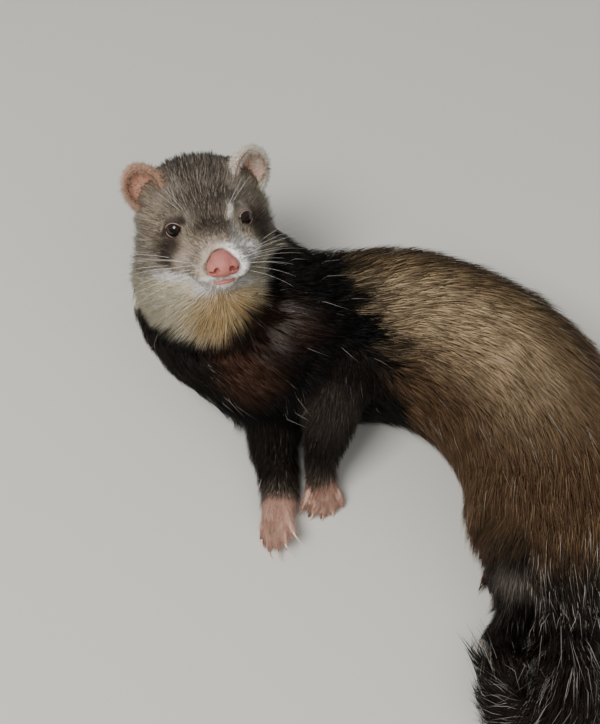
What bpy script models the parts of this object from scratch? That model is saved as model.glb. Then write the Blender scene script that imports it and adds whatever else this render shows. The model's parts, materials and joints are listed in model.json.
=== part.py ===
"""A life-size ferret at rest: it lies curled on its right side with its head lifted.

Sizes are in millimetres and MM turns them into Blender's metres. The working frame has the floor at
height 0, x to the animal's tail side and y away from its chest. The whole model is fused from soft
masses, pressed flat where it lies on the floor, and parted into nodes by thin cuts.
"""

import math
import random
from collections import namedtuple

import bmesh
import bpy
from mathutils import Matrix, Vector
from mathutils.bvhtree import BVHTree

MM = 0.001
GAP = 0.3
# The side of the block that cuts a form off at a plane, in metres.
SLAB = 0.6

# Each fused form is meshed this finely, smoothed this many rounds, and thinned to about this many faces.
BODY_VOXEL, BODY_ROUNDS, BODY_FACES = 1.2, 9, 2200
HEAD_VOXEL, HEAD_ROUNDS, HEAD_FACES = 0.8, 7, 3700
NOSE_VOXEL, NOSE_ROUNDS, NOSE_FACES = 0.4, 4, 360
LIPS_VOXEL, LIPS_ROUNDS, LIPS_FACES = 0.2, 2, 420
REGION_VOXEL, REGION_ROUNDS, REGION_FACES = 1.6, 4, 260

# The head looks along its own x axis, with y to the animal's left and z to its crown.
EYE_MIDDLE = (-34.6, 30.0, 82.0)
HEAD_TURN = -73.8
HEAD_LIFT = 30.3
HEAD_ROLL = -3.0

Mass = namedtuple("Mass", "at radii")
Station = namedtuple("Station", "at across deep")

# Soft masses of the head, in the head's frame. One with a sideways place is made on both sides.
HEAD_MASSES = {
    "cranium": Mass((-29.0, 0.0, 1.5), (23.0, 25.5, 17.0)),
    "face": Mass((-12.0, 0.0, -4.0), (14.5, 23.5, 14.0)),
    "cheek": Mass((-16.0, 15.5, -9.0), (16.5, 13.6, 13.0)),
    "jowl": Mass((-24.0, 13.5, -12.5), (16.0, 14.0, 13.0)),
    "brow": Mass((-9.0, 9.5, 2.6), (9.5, 8.5, 5.6)),
    "bridge": Mass((3.0, 0.0, -3.6), (16.0, 9.8, 6.6)),
    "muzzle_base": Mass((0.0, 9.5, -9.0), (13.5, 11.0, 9.6)),
    "muzzle": Mass((10.6, 0.0, -9.6), (11.5, 11.0, 7.5)),
    "whisker_pad": Mass((14.2, 5.7, -11.8), (7.4, 6.4, 5.6)),
    "chin": Mass((11.0, 0.0, -17.6), (8.6, 7.0, 4.6)),
    "jaw": Mass((1.0, 0.0, -15.5), (15.0, 12.5, 8.0)),
    "throat": Mass((-15.0, 0.0, -16.5), (17.0, 19.0, 13.5)),
}

# Small parts of the head, in its frame. The left one of each pair is given.
EYE_AT = (-2.6, 12.6, -0.4)
EYE_RADIUS = 4.2
EYE_GAZE = (0.84, 0.48, 0.14)
LID_THICK = 1.1
EYE_OPENING = (3.7, 3.1)
NOSE_MASSES = {
    "pad": Mass((21.4, 0.0, -8.8), (4.4, 5.0, 4.7)),
    "wing": Mass((21.2, 3.6, -9.4), (3.8, 3.1, 3.6)),
    "ridge": Mass((20.2, 0.0, -6.4), (4.2, 4.6, 3.0)),
}
NOSTRIL_AT = (24.9, 3.1, -9.3)
NOSTRIL_RADII = (2.6, 1.35, 1.15)
NOSTRIL_SLIT = (2.6, 1.7, 0.65)
NOSTRIL_TO_SLIT = (-0.7, 1.9, -0.75)
LIP_GROOVE = 0.5
LIP_LINE = (
    (21.5, 0.0, -15.2),
    (21.0, 3.2, -15.6),
    (18.6, 6.8, -16.2),
    (14.0, 10.2, -15.6),
    (9.5, 13.2, -13.6),
)
PHILTRUM = ((23.6, 0.0, -12.6), (23.0, 0.0, -13.8), (21.5, 0.0, -15.2))

EAR_AT = (-20.5, 20.8, 10.6)
EAR_RADII = (6.4, 9.0, 11.6)
EAR_WALL = 1.4
EAR_FACES = (0.86, 0.40, 0.12)
EAR_UP = (-0.14, 0.46, 0.86)
# The hollow of the cup is set this far forward and up, and its open front is cut off this far out.
EAR_HOLLOW = (0.84, 0.0, 0.4)
EAR_FRONT = 1.6

# Where the head leaves the neck, in the head's frame, and the other partings, in the working frame.
HEAD_PLANE = ((-18.0, 0.0, -14.5), (-0.50, 0.20, -0.84))
PARTINGS = {
    "neck": ((-19.0, 20.0, 43.0), (0.78, -0.35, -0.52)),
    "torso_front": ((34.0, 9.0, 32.0), (0.98, -0.18, 0.0)),
    "torso_middle": ((86.0, -27.0, 32.0), (0.50, -0.87, 0.0)),
    "torso_rear": ((101.5, -93.0, 24.0), (0.30, -0.85, -0.43)),
    "tail_base": ((99.8, -113.0, 13.0), (0.0, -1.0, -0.05)),
    "tail_middle": ((91.0, -136.0, 11.0), (-0.92, -0.39, 0.0)),
}
LAST_LENGTH = "tail_tip"
LEG_MARGIN = 3.0

# Colour and roughness of each kind of node, the colours linear.
FINISHES = {
    "head": ((0.24, 0.18, 0.13), 0.85),
    "nose": ((0.70, 0.26, 0.22), 0.40),
    "ear": ((0.66, 0.36, 0.27), 0.65),
    "eye": ((0.008, 0.005, 0.004), 0.08),
    "neck": ((0.42, 0.33, 0.20), 0.85),
    "torso_front": ((0.025, 0.018, 0.014), 0.80),
    "torso_middle": ((0.36, 0.26, 0.15), 0.85),
    "torso_rear": ((0.15, 0.10, 0.07), 0.85),
    "tail": ((0.018, 0.013, 0.011), 0.80),
    "foreleg": ((0.022, 0.017, 0.014), 0.80),
    "hindleg": ((0.022, 0.017, 0.014), 0.80),
    "forepaw": ((0.68, 0.46, 0.38), 0.70),
    "hindpaw": ((0.30, 0.24, 0.20), 0.75),
}
CREASE = 40.0

# The neck's throat side and nape side, and the trunk to the root of the tail, head end first.
THROAT = (
    Station((-42.0, 40.0, 62.0), 25.0, 25.0),
    Station((-42.0, 24.0, 50.0), 27.0, 28.0),
    Station((-32.0, 12.0, 42.0), 30.0, 30.0),
    Station((-14.0, 7.0, 34.0), 32.0, 33.0),
)
NAPE = (
    Station((-43.0, 49.0, 62.0), 17.0, 17.0),
    Station((-24.0, 35.0, 50.0), 19.0, 18.0),
    Station((0.0, 19.0, 38.0), 24.0, 24.0),
    Station((20.0, 12.0, 33.0), 26.0, 26.0),
)
TRUNK = (
    Station((-4.0, 6.0, 33.0), 32.0, 33.0),
    Station((20.0, 11.0, 31.8), 33.5, 34.0),
    Station((48.0, 10.5, 31.5), 34.0, 34.5),
    Station((79.0, -9.5, 32.0), 34.5, 35.5),
    Station((95.0, -41.0, 32.0), 34.5, 35.0),
    Station((98.0, -66.0, 31.0), 32.5, 33.0),
    Station((98.5, -82.0, 27.0), 22.0, 22.0),
)
TAIL = (
    Station((98.5, -82.0, 27.0), 19.0, 19.0),
    Station((100.0, -94.0, 18.0), 13.6, 13.6),
    Station((100.0, -106.0, 14.2), 12.8, 12.8),
    Station((99.5, -119.0, 12.6), 9.8, 9.8),
    Station((96.5, -131.0, 11.8), 8.6, 8.6),
    Station((88.5, -139.5, 11.2), 7.8, 7.8),
    Station((79.5, -138.0, 9.6), 6.6, 6.6),
    Station((75.5, -129.5, 7.8), 5.0, 5.0),
    Station((76.5, -121.5, 6.2), 3.2, 3.2),
)

# The brush of the tail's outer lengths: flat tapered locks. Each length has its first tier at the first share of
# the tail given here, ends its locks by the second, and has this many tiers.
BRUSH = {
    "tail_middle": (0.33, 0.565, 2),
    "tail_tip": (0.585, 1.07, 3),
}
BRUSH_AROUND = 7
PATH_STEPS = 8
LOCK_REACH = 0.165
LOCK_WIDTH = 7.0
LOCK_THICK = 1.7
BRUSH_DEPTH = 4.3
LOCK_STRAY = 0.16
REACH_VARIES = (0.86, 1.06)
DEPTH_VARIES = (0.85, 1.15)
# Along a lock: share of its reach, rise as a share of the depth, and shares of its width and thickness.
# The root's rise is in millimetres below the skin instead.
LOCK_STEPS = (
    (0.0, -2.2, 0.55, 1.0),
    (0.35, 0.4, 1.0, 1.0),
    (0.70, 0.75, 0.74, 0.8),
    (1.0, 1.0, 0.08, 0.25),
)
SEED = 6

# Each paw's toes point this way, with the back of the paw facing up along the second direction.
Paw = namedtuple("Paw", "wrist toward back toes toe_length")
PAWS = {
    "forepaw_right": Paw("foreleg_right", (-0.04, -1.0, -0.05), (-0.70, 0.05, 0.70), 5, 11.5),
    "forepaw_left": Paw("foreleg_left", (0.03, -0.88, -0.46), (0.25, -0.40, 0.87), 5, 7.5),
    "hindpaw_left": Paw("hindleg_left", (-0.30, -0.94, -0.10), (0.25, -0.15, 0.95), 5, 8.0),
    "hindpaw_right": Paw("hindleg_right", (-0.12, -0.99, -0.03), (0.0, 0.05, 1.0), 5, 7.0),
}
TOE_FAN = 13.0
TOE_RADIUS = 2.55
# A toe's middle, its half length and the claw's root are shares of its length. The claw's root rises
# by a share of its radius.
TOE_MIDDLE, TOE_HALF, CLAW_FROM, CLAW_RISE = 0.40, 0.62, 0.86, 0.25
# The outer toes start further back and are shorter, by these times the square of their place.
TOE_BACK, TOE_SHORTER = 0.55, 0.045
# Toes start at this share of the palm's radius, this far apart and a little low.
TOE_ROOT, TOE_APART, TOE_DROP = 0.45, 2.6, -0.3
CLAW_LENGTH = 4.2
CLAW_RADIUS = 0.85
CLAW_DROP = 1.5

# Each leg from its root in the trunk to the palm or sole.
LEGS = {
    "foreleg_right": (
        Station((4.0, -4.0, 24.0), 17.0, 17.0),
        Station((-8.0, -15.0, 18.0), 15.0, 15.0),
        Station((-11.5, -27.0, 11.5), 11.0, 11.0),
        Station((-9.0, -38.8, 8.0), 8.4, 8.6),
        Station((-8.5, -47.5, 6.6), 7.5, 7.4),
        Station((-8.6, -57.0, 5.2), 7.8, 6.2),
    ),
    "foreleg_left": (
        Station((22.0, -4.0, 46.0), 17.0, 17.0),
        Station((16.0, -14.0, 43.0), 15.0, 15.0),
        Station((12.5, -25.0, 37.0), 13.0, 13.0),
        Station((11.0, -32.0, 29.0), 11.0, 11.0),
        Station((8.5, -37.5, 20.0), 8.6, 8.6),
        Station((8.3, -42.5, 12.5), 7.0, 7.0),
        Station((9.0, -46.5, 7.5), 6.6, 6.2),
    ),
    "hindleg_left": (
        Station((92.0, -64.0, 42.0), 18.0, 18.0),
        Station((84.0, -73.0, 37.0), 16.5, 16.5),
        Station((78.5, -81.0, 29.0), 12.5, 12.5),
        Station((80.0, -90.0, 22.0), 9.5, 9.5),
        Station((81.0, -98.0, 13.5), 7.4, 7.4),
        Station((78.5, -104.0, 5.2), 7.2, 6.2),
    ),
    "hindleg_right": (
        Station((94.0, -58.0, 18.0), 16.0, 16.0),
        Station((80.0, -64.0, 11.5), 12.5, 12.5),
        Station((86.0, -74.0, 7.4), 8.4, 8.4),
        Station((79.5, -80.5, 5.0), 6.6, 6.0),
    ),
}


def clear_scene():
    """Empty the scene, startup objects included."""
    for obj in list(bpy.data.objects):
        bpy.data.objects.remove(obj, do_unlink=True)


def vector(point):
    """A point in millimetres as a vector in metres."""
    return Vector(point) * MM


def head_matrix():
    """The head's place and turn in the working frame."""
    turn = Matrix.Rotation(math.radians(HEAD_TURN), 4, "Z")
    lift = Matrix.Rotation(math.radians(-HEAD_LIFT), 4, "Y")
    roll = Matrix.Rotation(math.radians(HEAD_ROLL), 4, "X")
    return Matrix.Translation(vector(EYE_MIDDLE)) @ turn @ lift @ roll


def frame_of(forward, up):
    """A turn whose x axis looks forward and whose z axis is near up."""
    x = Vector(forward).normalized()
    y = Vector(up).cross(x).normalized()
    return Matrix((x, y, x.cross(y))).transposed().to_4x4()


def other_side(point, side):
    """The point of the left side, or its mirror on the right where side is -1."""
    return Vector((point[0], point[1] * side, point[2]))


def add_ball(bm, matrix, radii, rounds=3):
    """Add an ellipsoid with these radii, in millimetres, placed and turned by the matrix."""
    scale = Matrix.Diagonal((*[r * MM for r in radii], 1.0))
    bmesh.ops.create_icosphere(bm, subdivisions=rounds, radius=1.0, matrix=matrix @ scale)


def catmull(points, index, part):
    """A point on the smooth curve through the points, past points[index] by the part."""
    last = len(points) - 1
    a, b, c, d = (points[min(max(index + k, 0), last)] for k in (-1, 0, 1, 2))
    return 0.5 * (
        2 * b
        + (c - a) * part
        + (2 * a - 5 * b + 4 * c - d) * part**2
        + (3 * b - a - 3 * c + d) * part**3
    )


def along(stations, per_span):
    """Centres, tangents and radii along the smooth curve through the stations."""
    points = [vector(s.at) for s in stations]
    radii = [Vector((s.across, s.deep, 0.0)) for s in stations]
    found = []
    for index in range(len(points) - 1):
        for step in range(per_span):
            part = step / per_span
            ahead = catmull(points, index, part + 0.02)
            here = catmull(points, index, part)
            found.append((here, (ahead - here).normalized(), catmull(radii, index, part)))
    found.append((points[-1], (points[-1] - found[-1][0]).normalized(), radii[-1]))
    return found


def add_chain(bm, stations, per_span=6, grow=0.0):
    """Add a tapering tube of overlapping ellipsoids through the stations."""
    for centre, tangent, size in along(stations, per_span):
        turn = tangent.to_track_quat("X", "Z").to_matrix().to_4x4()
        across, deep = size.x + grow, size.y + grow
        radii = (0.5 * (across + deep), across, deep)
        add_ball(bm, Matrix.Translation(centre) @ turn, radii)


def add_head(bm, masses, matrix):
    """Add the head's masses, those with a sideways place on both sides."""
    for mass in masses.values():
        for side in (1, -1) if mass.at[1] else (1,):
            add_ball(bm, matrix @ Matrix.Translation(other_side(mass.at, side) * MM), mass.radii)


def object_of(name, bm):
    """Turn a bmesh into a linked object."""
    mesh = bpy.data.meshes.new(name)
    bm.to_mesh(mesh)
    bm.free()
    obj = bpy.data.objects.new(name, mesh)
    bpy.context.scene.collection.objects.link(obj)
    return obj


def applied(obj):
    """Replace an object by one that holds the plain mesh that its modifiers make."""
    name = obj.name
    mesh = bpy.data.meshes.new_from_object(obj.evaluated_get(bpy.context.evaluated_depsgraph_get()))
    bpy.data.objects.remove(obj, do_unlink=True)
    made = bpy.data.objects.new(name, mesh)
    bpy.context.scene.collection.objects.link(made)
    return made


def fused(bm, name, voxel, rounds, faces):
    """Fuse overlapping masses into one smooth skin of about this many triangles."""
    obj = object_of(name, bm)
    remesh = obj.modifiers.new("fuse", "REMESH")
    remesh.mode = "VOXEL"
    remesh.voxel_size = voxel * MM
    smooth = obj.modifiers.new("smooth", "SMOOTH")
    smooth.factor = 0.5
    smooth.iterations = rounds
    obj = applied(obj)
    thin = obj.modifiers.new("thin", "DECIMATE")
    thin.ratio = faces / (2 * len(obj.data.polygons))
    thin.use_collapse_triangulate = True
    return applied(obj)


def combined(obj, operation, others, solver="EXACT"):
    """Join the other objects to this one, or cut them from it, and remove them."""
    group = bpy.data.collections.new("others")
    bpy.context.scene.collection.children.link(group)
    for other in others:
        group.objects.link(other)
    boolean = obj.modifiers.new("combine", "BOOLEAN")
    boolean.operation = operation
    boolean.solver = solver
    boolean.operand_type = "COLLECTION"
    boolean.collection = group
    obj = applied(obj)
    for other in others:
        bpy.data.objects.remove(other, do_unlink=True)
    bpy.data.collections.remove(group)
    return largest(obj)


def largest(obj):
    """Keep the largest closed surface of an object's mesh."""
    bm = bmesh.new()
    bm.from_mesh(obj.data)
    left = set(bm.faces)
    pieces = []
    while left:
        piece, edge = set(), [left.pop()]
        while edge:
            face = edge.pop()
            piece.add(face)
            near = {f for e in face.edges for f in e.link_faces} & left
            left -= near
            edge.extend(near)
        pieces.append(piece)
    keep = max(pieces, key=lambda piece: sum(f.calc_area() for f in piece))
    bmesh.ops.delete(bm, geom=[f for f in bm.faces if f not in keep], context="FACES")
    bm.to_mesh(obj.data)
    bm.free()
    return obj


def copy_of(obj, name):
    """A linked copy of the object with its own mesh."""
    made = bpy.data.objects.new(name, obj.data.copy())
    bpy.context.scene.collection.objects.link(made)
    return made


def sliced(obj, point, normal):
    """Cut away what lies beyond the plane that the normal leaves, and close the cut."""
    bm = bmesh.new()
    bm.from_mesh(obj.data)
    bmesh.ops.bisect_plane(
        bm,
        geom=bm.verts[:] + bm.edges[:] + bm.faces[:],
        dist=1e-7,
        plane_co=point,
        plane_no=normal,
        clear_outer=True,
    )
    rim = [e for e in bm.edges if e.is_boundary]
    bmesh.ops.holes_fill(bm, edges=rim, sides=0)
    bmesh.ops.triangulate(bm, faces=[f for f in bm.faces if len(f.verts) > 4])
    bm.to_mesh(obj.data)
    bm.free()
    return largest(obj)


def chopped(obj, point, normal):
    """Cut as sliced does, but with a block, which is surer where many thin locks cross the plane."""
    bm = bmesh.new()
    turn = Vector(normal).to_track_quat("Z", "Y").to_matrix().to_4x4()
    beyond = Matrix.Translation(point) @ turn @ Matrix.Translation((0.0, 0.0, SLAB / 2))
    bmesh.ops.create_cube(bm, size=SLAB, matrix=beyond)
    return combined(obj, "DIFFERENCE", [object_of("slab", bm)])


def parted(obj, name, point, normal):
    """Part an object at a plane: what lies before it, under this name, and what lies beyond it."""
    normal = Vector(normal).normalized()
    obj.name = "beyond"
    before = sliced(copy_of(obj, name), point - normal * GAP * MM / 2, normal)
    beyond = sliced(obj, point + normal * GAP * MM / 2, -normal)
    return before, beyond


def ball(name, matrix, radii, rounds=3):
    """An ellipsoid as an object of its own."""
    bm = bmesh.new()
    add_ball(bm, matrix, radii, rounds)
    return object_of(name, bm)


def smooth_line(points, per_span=10):
    """More points, on the smooth curve through these."""
    spans = range(len(points) - 1)
    line = [catmull(points, index, step / per_span) for index in spans for step in range(per_span)]
    return line + [points[-1]]


def build_lips(head, tree):
    """The groove of the closed mouth and of the cleft under the nose, laid along the surface."""
    left = [head @ (other_side(p, 1) * MM) for p in LIP_LINE]
    right = [head @ (other_side(p, -1) * MM) for p in LIP_LINE[:0:-1]]
    cleft = [head @ vector(p) for p in PHILTRUM]
    bm = bmesh.new()
    for line in (right + left, cleft):
        for point in smooth_line(line):
            place = Matrix.Translation(tree.find_nearest(point)[0])
            add_ball(bm, place, [LIP_GROOVE] * 3, 2)
    return fused(bm, "lips", LIPS_VOXEL, LIPS_ROUNDS, LIPS_FACES)


def eye_matrix(head, side):
    """The place of an eye, with x along its gaze."""
    turn = frame_of(other_side(EYE_GAZE, side), (0.0, 0.0, 1.0))
    return head @ Matrix.Translation(other_side(EYE_AT, side) * MM) @ turn


def build_nose(head):
    """The bare nose pad, with a comma-shaped nostril on each side."""
    bm = bmesh.new()
    add_head(bm, NOSE_MASSES, head)
    nose = fused(bm, "nose", NOSE_VOXEL, NOSE_ROUNDS, NOSE_FACES)
    cutters = []
    for side in (1, -1):
        place = head @ Matrix.Translation(other_side(NOSTRIL_AT, side) * MM)
        cutters.append(ball("nostril", place, NOSTRIL_RADII, 2))
        aside = Matrix.Translation(other_side(NOSTRIL_TO_SLIT, side) * MM)
        cutters.append(ball("slit", place @ aside, NOSTRIL_SLIT, 2))
    return combined(nose, "DIFFERENCE", cutters)


def grown(obj, name, by):
    """A copy of the object whose surface stands further out by this many millimetres."""
    made = copy_of(obj, name)
    bm = bmesh.new()
    bm.from_mesh(made.data)
    bm.normal_update()
    moves = [v.normal.copy() * by * MM for v in bm.verts]
    for vert, move in zip(bm.verts, moves):
        vert.co += move
    bm.to_mesh(made.data)
    bm.free()
    return made


def build_head(head, nose_form):
    """The head with lids round sunk eyes, a seat for the nose, a mouth line and lips."""
    bm = bmesh.new()
    add_head(bm, HEAD_MASSES, head)
    for side in (1, -1):
        lid = EYE_RADIUS + LID_THICK
        add_ball(bm, eye_matrix(head, side), (lid, lid, lid))
    add_chain(bm, THROAT[:3])
    add_chain(bm, NAPE[:3])
    form = fused(bm, "head", HEAD_VOXEL, HEAD_ROUNDS, HEAD_FACES)
    point, normal = head @ vector(HEAD_PLANE[0]), head.to_3x3() @ Vector(HEAD_PLANE[1])
    form = sliced(form, point - normal * GAP * MM / 2, normal)
    plain = copy_of(form, "plain_head")
    tree = BVHTree.FromObject(form, bpy.context.evaluated_depsgraph_get())
    cutters = [nose_form]
    for side in (1, -1):
        eye = eye_matrix(head, side)
        cutters.append(ball("socket", eye, [EYE_RADIUS + GAP] * 3))
        opening = eye @ Matrix.Translation(vector((EYE_RADIUS + 1.0, 0.0, 0.0)))
        cutters.append(ball("opening", opening, (4.0, *EYE_OPENING)))
    form = combined(form, "DIFFERENCE", cutters)
    return combined(form, "DIFFERENCE", [build_lips(head, tree)]), plain


def build_ear(head, side, plain):
    """A round, cupped ear whose foot follows the head's surface."""
    name = "ear_left" if side > 0 else "ear_right"
    turn = frame_of(other_side(EAR_FACES, side), other_side(EAR_UP, side))
    place = head @ Matrix.Translation(other_side(EAR_AT, side) * MM) @ turn
    outer = ball(name, place, EAR_RADII)
    hollow = Matrix.Translation(vector(EAR_HOLLOW))
    inner = ball("hollow", place @ hollow, [r - EAR_WALL for r in EAR_RADII])
    cup = combined(outer, "DIFFERENCE", [inner, grown(plain, "clear", GAP)])
    return sliced(cup, place @ vector((EAR_FRONT, 0.0, 0.0)), place.to_3x3() @ Vector((1.0, 0.0, 0.0)))


def between(obj, name):
    """Cut off what one length's locks reach past its own ends, and below the floor."""
    names = list(PARTINGS)
    place = names.index(name) if name in names else len(names)
    at, normal = PARTINGS[names[place - 1]]
    normal = Vector(normal).normalized()
    obj = chopped(obj, vector(at) + normal * GAP * MM / 2, -normal)
    if place < len(names):
        at, normal = PARTINGS[name]
        normal = Vector(normal).normalized()
        obj = chopped(obj, vector(at) - normal * GAP * MM / 2, normal)
    return chopped(obj, Vector((0.0, 0.0, 0.0)), Vector((0.0, 0.0, -1.0)))


def whole_body(head):
    """The whole animal as one smooth closed skin."""
    bm = bmesh.new()
    add_head(bm, HEAD_MASSES, head)
    for chain in (THROAT, NAPE, TRUNK, TAIL, *LEGS.values()):
        add_chain(bm, chain)
    return fused(bm, "whole_body", BODY_VOXEL, BODY_ROUNDS, BODY_FACES)


def claw(place, reach, drop):
    """A curved, tapering claw of four sides, with x along its toe."""
    bm = bmesh.new()
    rings = []
    for part in (0.0, 0.5, 1.0):
        thick = CLAW_RADIUS * (1 - 0.8 * part)
        centre = vector((reach + CLAW_LENGTH * part, 0.0, drop - CLAW_DROP * part**2))
        corners = (vector((0.0, thick * y, thick * z)) for y, z in ((1, 0), (0, 1), (-1, 0), (0, -1)))
        rings.append([bm.verts.new(place @ (centre + corner)) for corner in corners])
    for near, far in zip(rings, rings[1:]):
        for k in range(4):
            bm.faces.new((near[k - 1], near[k], far[k], far[k - 1]))
    bm.faces.new(rings[0])
    bm.faces.new(rings[-1][::-1])
    bmesh.ops.recalc_face_normals(bm, faces=bm.faces)
    return object_of("claw", bm)


def tail_place(path, share, around, out):
    """A point beside the tail's line, and its directions along, outwards and sideways."""
    spot = share * (len(path) - 1)
    index = min(int(spot), len(path) - 2)
    (near, tangent, near_size), (far, _, far_size) = path[index : index + 2]
    centre = near.lerp(far, spot - index)
    size = near_size.lerp(far_size, min(spot - index, 1.0)).x
    side = tangent.cross(Vector((0.0, 0.0, 1.0))).normalized()
    outward = side * math.cos(around) + side.cross(tangent) * math.sin(around)
    return centre + outward * (size + out * MM), tangent, outward


def lock(path, share, around, reach, depth):
    """One flat lock of the brush that starts under the skin and leans out along the tail."""
    bm = bmesh.new()
    rings = []
    for step, rise, wide, thick in LOCK_STEPS:
        out = rise if rise < 0 else rise * depth
        centre, tangent, outward = tail_place(path, share + reach * step, around, out)
        across = outward.cross(tangent) * (0.5 * LOCK_WIDTH * wide * MM)
        through = outward * (0.5 * LOCK_THICK * thick * MM)
        corners = (across + through, through - across, -across - through, across - through)
        rings.append([bm.verts.new(centre + corner) for corner in corners])
    for near, far in zip(rings, rings[1:]):
        for k in range(4):
            bm.faces.new((near[k - 1], near[k], far[k], far[k - 1]))
    bm.faces.new(rings[0])
    bm.faces.new(rings[-1][::-1])
    bmesh.ops.triangulate(bm, faces=bm.faces)
    bmesh.ops.recalc_face_normals(bm, faces=bm.faces)
    return object_of("lock", bm)


def brushed(core):
    """Fuse the tiers of locks into one length of the tail."""
    first, last, tiers = BRUSH[core.name]
    name = core.name
    path = along([Station(s.at, s.across * MM, s.deep * MM) for s in TAIL], PATH_STEPS)
    draw = random.Random(SEED + len(name))
    locks = []
    for tier in range(tiers):
        start = first + (last - first - LOCK_REACH) * tier / (tiers - 1)
        for turn in range(BRUSH_AROUND):
            turned = turn + 0.5 * (tier % 2) + draw.uniform(-LOCK_STRAY, LOCK_STRAY)
            around = math.tau * turned / BRUSH_AROUND
            reach = min(LOCK_REACH * draw.uniform(*REACH_VARIES), last - start)
            depth = BRUSH_DEPTH * draw.uniform(*DEPTH_VARIES)
            locks.append(lock(path, start, around, reach, depth))
    made = between(combined(core, "UNION", locks, "MANIFOLD"), name)
    made.name = name
    return made


def toe_and_claw(place, length, radius):
    """One toe with its claw: place has x along the toe and z to the back of the paw."""
    middle = Matrix.Translation(vector((TOE_MIDDLE * length, 0.0, 0.0)))
    toe = ball("toe", place @ middle, (TOE_HALF * length, radius, radius), 2)
    return [toe, claw(place, CLAW_FROM * length, CLAW_RISE * radius)]


def build_paw(name, stub):
    """Add toes and claws to the stub that the wrist or ankle leaves."""
    paw = PAWS[name]
    last = LEGS[paw.wrist][-1]
    turn = frame_of(paw.toward, paw.back)
    palm = Matrix.Translation(vector(last.at)) @ turn
    pieces = []
    for toe in range(paw.toes):
        aside = toe - (paw.toes - 1) / 2
        spread = Matrix.Rotation(math.radians(TOE_FAN * aside), 4, "Z")
        start = vector((TOE_ROOT * last.across - TOE_BACK * aside**2, TOE_APART * aside, TOE_DROP))
        place = palm @ Matrix.Translation(start) @ spread
        pieces += toe_and_claw(place, paw.toe_length * (1 - TOE_SHORTER * aside**2), TOE_RADIUS)
    made = combined(stub, "UNION", pieces)
    made.name = name
    return made


def pressed(obj):
    """Flatten what lies below the floor."""
    return sliced(obj, Vector((0.0, 0.0, 0.0)), Vector((0.0, 0.0, -1.0)))


def build_legs(body):
    """Part the four legs from the body, and each paw from its leg."""
    made = []
    for name, stations in LEGS.items():
        bm = bmesh.new()
        add_chain(bm, stations[1:], 4, LEG_MARGIN)
        near = fused(bm, "near", REGION_VOXEL, REGION_ROUNDS, REGION_FACES)
        away = grown(near, "away", GAP)
        leg = combined(copy_of(body, name), "INTERSECT", [near])
        body = combined(body, "DIFFERENCE", [away])
        wrist, palm = vector(stations[-2].at), vector(stations[-1].at)
        point = wrist + (palm - wrist) * 0.25
        leg, stub = parted(leg, name, point, palm - wrist)
        paw = next(p for p, facts in PAWS.items() if facts.wrist == name)
        made += [leg, pressed(build_paw(paw, stub))]
    return body, made


def build_lengths(body, head):
    """Part the neck, the torso and the tail at their planes."""
    point, normal = head @ vector(HEAD_PLANE[0]), head.to_3x3() @ Vector(HEAD_PLANE[1])
    body = sliced(body, point + normal * GAP * MM / 2, -normal)
    made = []
    for name, (at, along_body) in PARTINGS.items():
        piece, body = parted(body, name, vector(at), along_body)
        made.append(piece)
    body.name = LAST_LENGTH
    made.append(body)
    return [brushed(piece) if piece.name in BRUSH else piece for piece in made]


def coloured(obj):
    """Give a node the material of its kind, and shade it smooth away from its cut edges."""
    kind = next(k for k in FINISHES if obj.name.startswith(k))
    colour, roughness = FINISHES[kind]
    material = bpy.data.materials.new(obj.name)
    material.use_nodes = True
    shader = material.node_tree.nodes["Principled BSDF"]
    shader.inputs["Base Color"].default_value = (*colour, 1.0)
    shader.inputs["Roughness"].default_value = roughness
    shader.inputs["Metallic"].default_value = 0.0
    obj.data.materials.clear()
    obj.data.materials.append(material)
    obj.data.shade_smooth()
    obj.data.set_sharp_from_angle(angle=math.radians(CREASE))


def centred(parts):
    """Shift the whole animal until the floor's middle under its box is the origin."""
    corners = [v.co for part in parts for v in part.data.vertices]
    middle = [(min(c[k] for c in corners) + max(c[k] for c in corners)) / 2 for k in (0, 1)]
    for part in parts:
        part.data.transform(Matrix.Translation((-middle[0], -middle[1], 0.0)))


def main():
    clear_scene()
    head = head_matrix()
    nose = build_nose(head)
    face, plain = build_head(head, grown(nose, "nose_seat", GAP))
    parts = [nose, face]
    parts += [build_ear(head, side, plain) for side in (1, -1)]
    for side, name in ((1, "eye_left"), (-1, "eye_right")):
        parts.append(ball(name, eye_matrix(head, side), [EYE_RADIUS] * 3, 2))
    bpy.data.objects.remove(plain, do_unlink=True)
    body, legs = build_legs(pressed(whole_body(head)))
    parts += legs + build_lengths(body, head)
    centred(parts)
    for part in parts:
        coloured(part)


main()
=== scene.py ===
# %% [markdown]
# # A life-size ferret at rest
# A ferret is a small, long-bodied hunter with a dense coat: pale woolly underfur close to the skin, and
# longer guard hairs with dark tips over it. This one lies curled on its right side and looks up. The lesson
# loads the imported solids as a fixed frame, lays a skin a little inside them, and grows the coat out to their
# surface.

# %% Load the frame
import json
import math

import bmesh
import bpy
import numpy as np
from mathutils import Matrix, Vector
from mathutils.bvhtree import BVHTree
from mathutils.kdtree import KDTree

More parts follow.
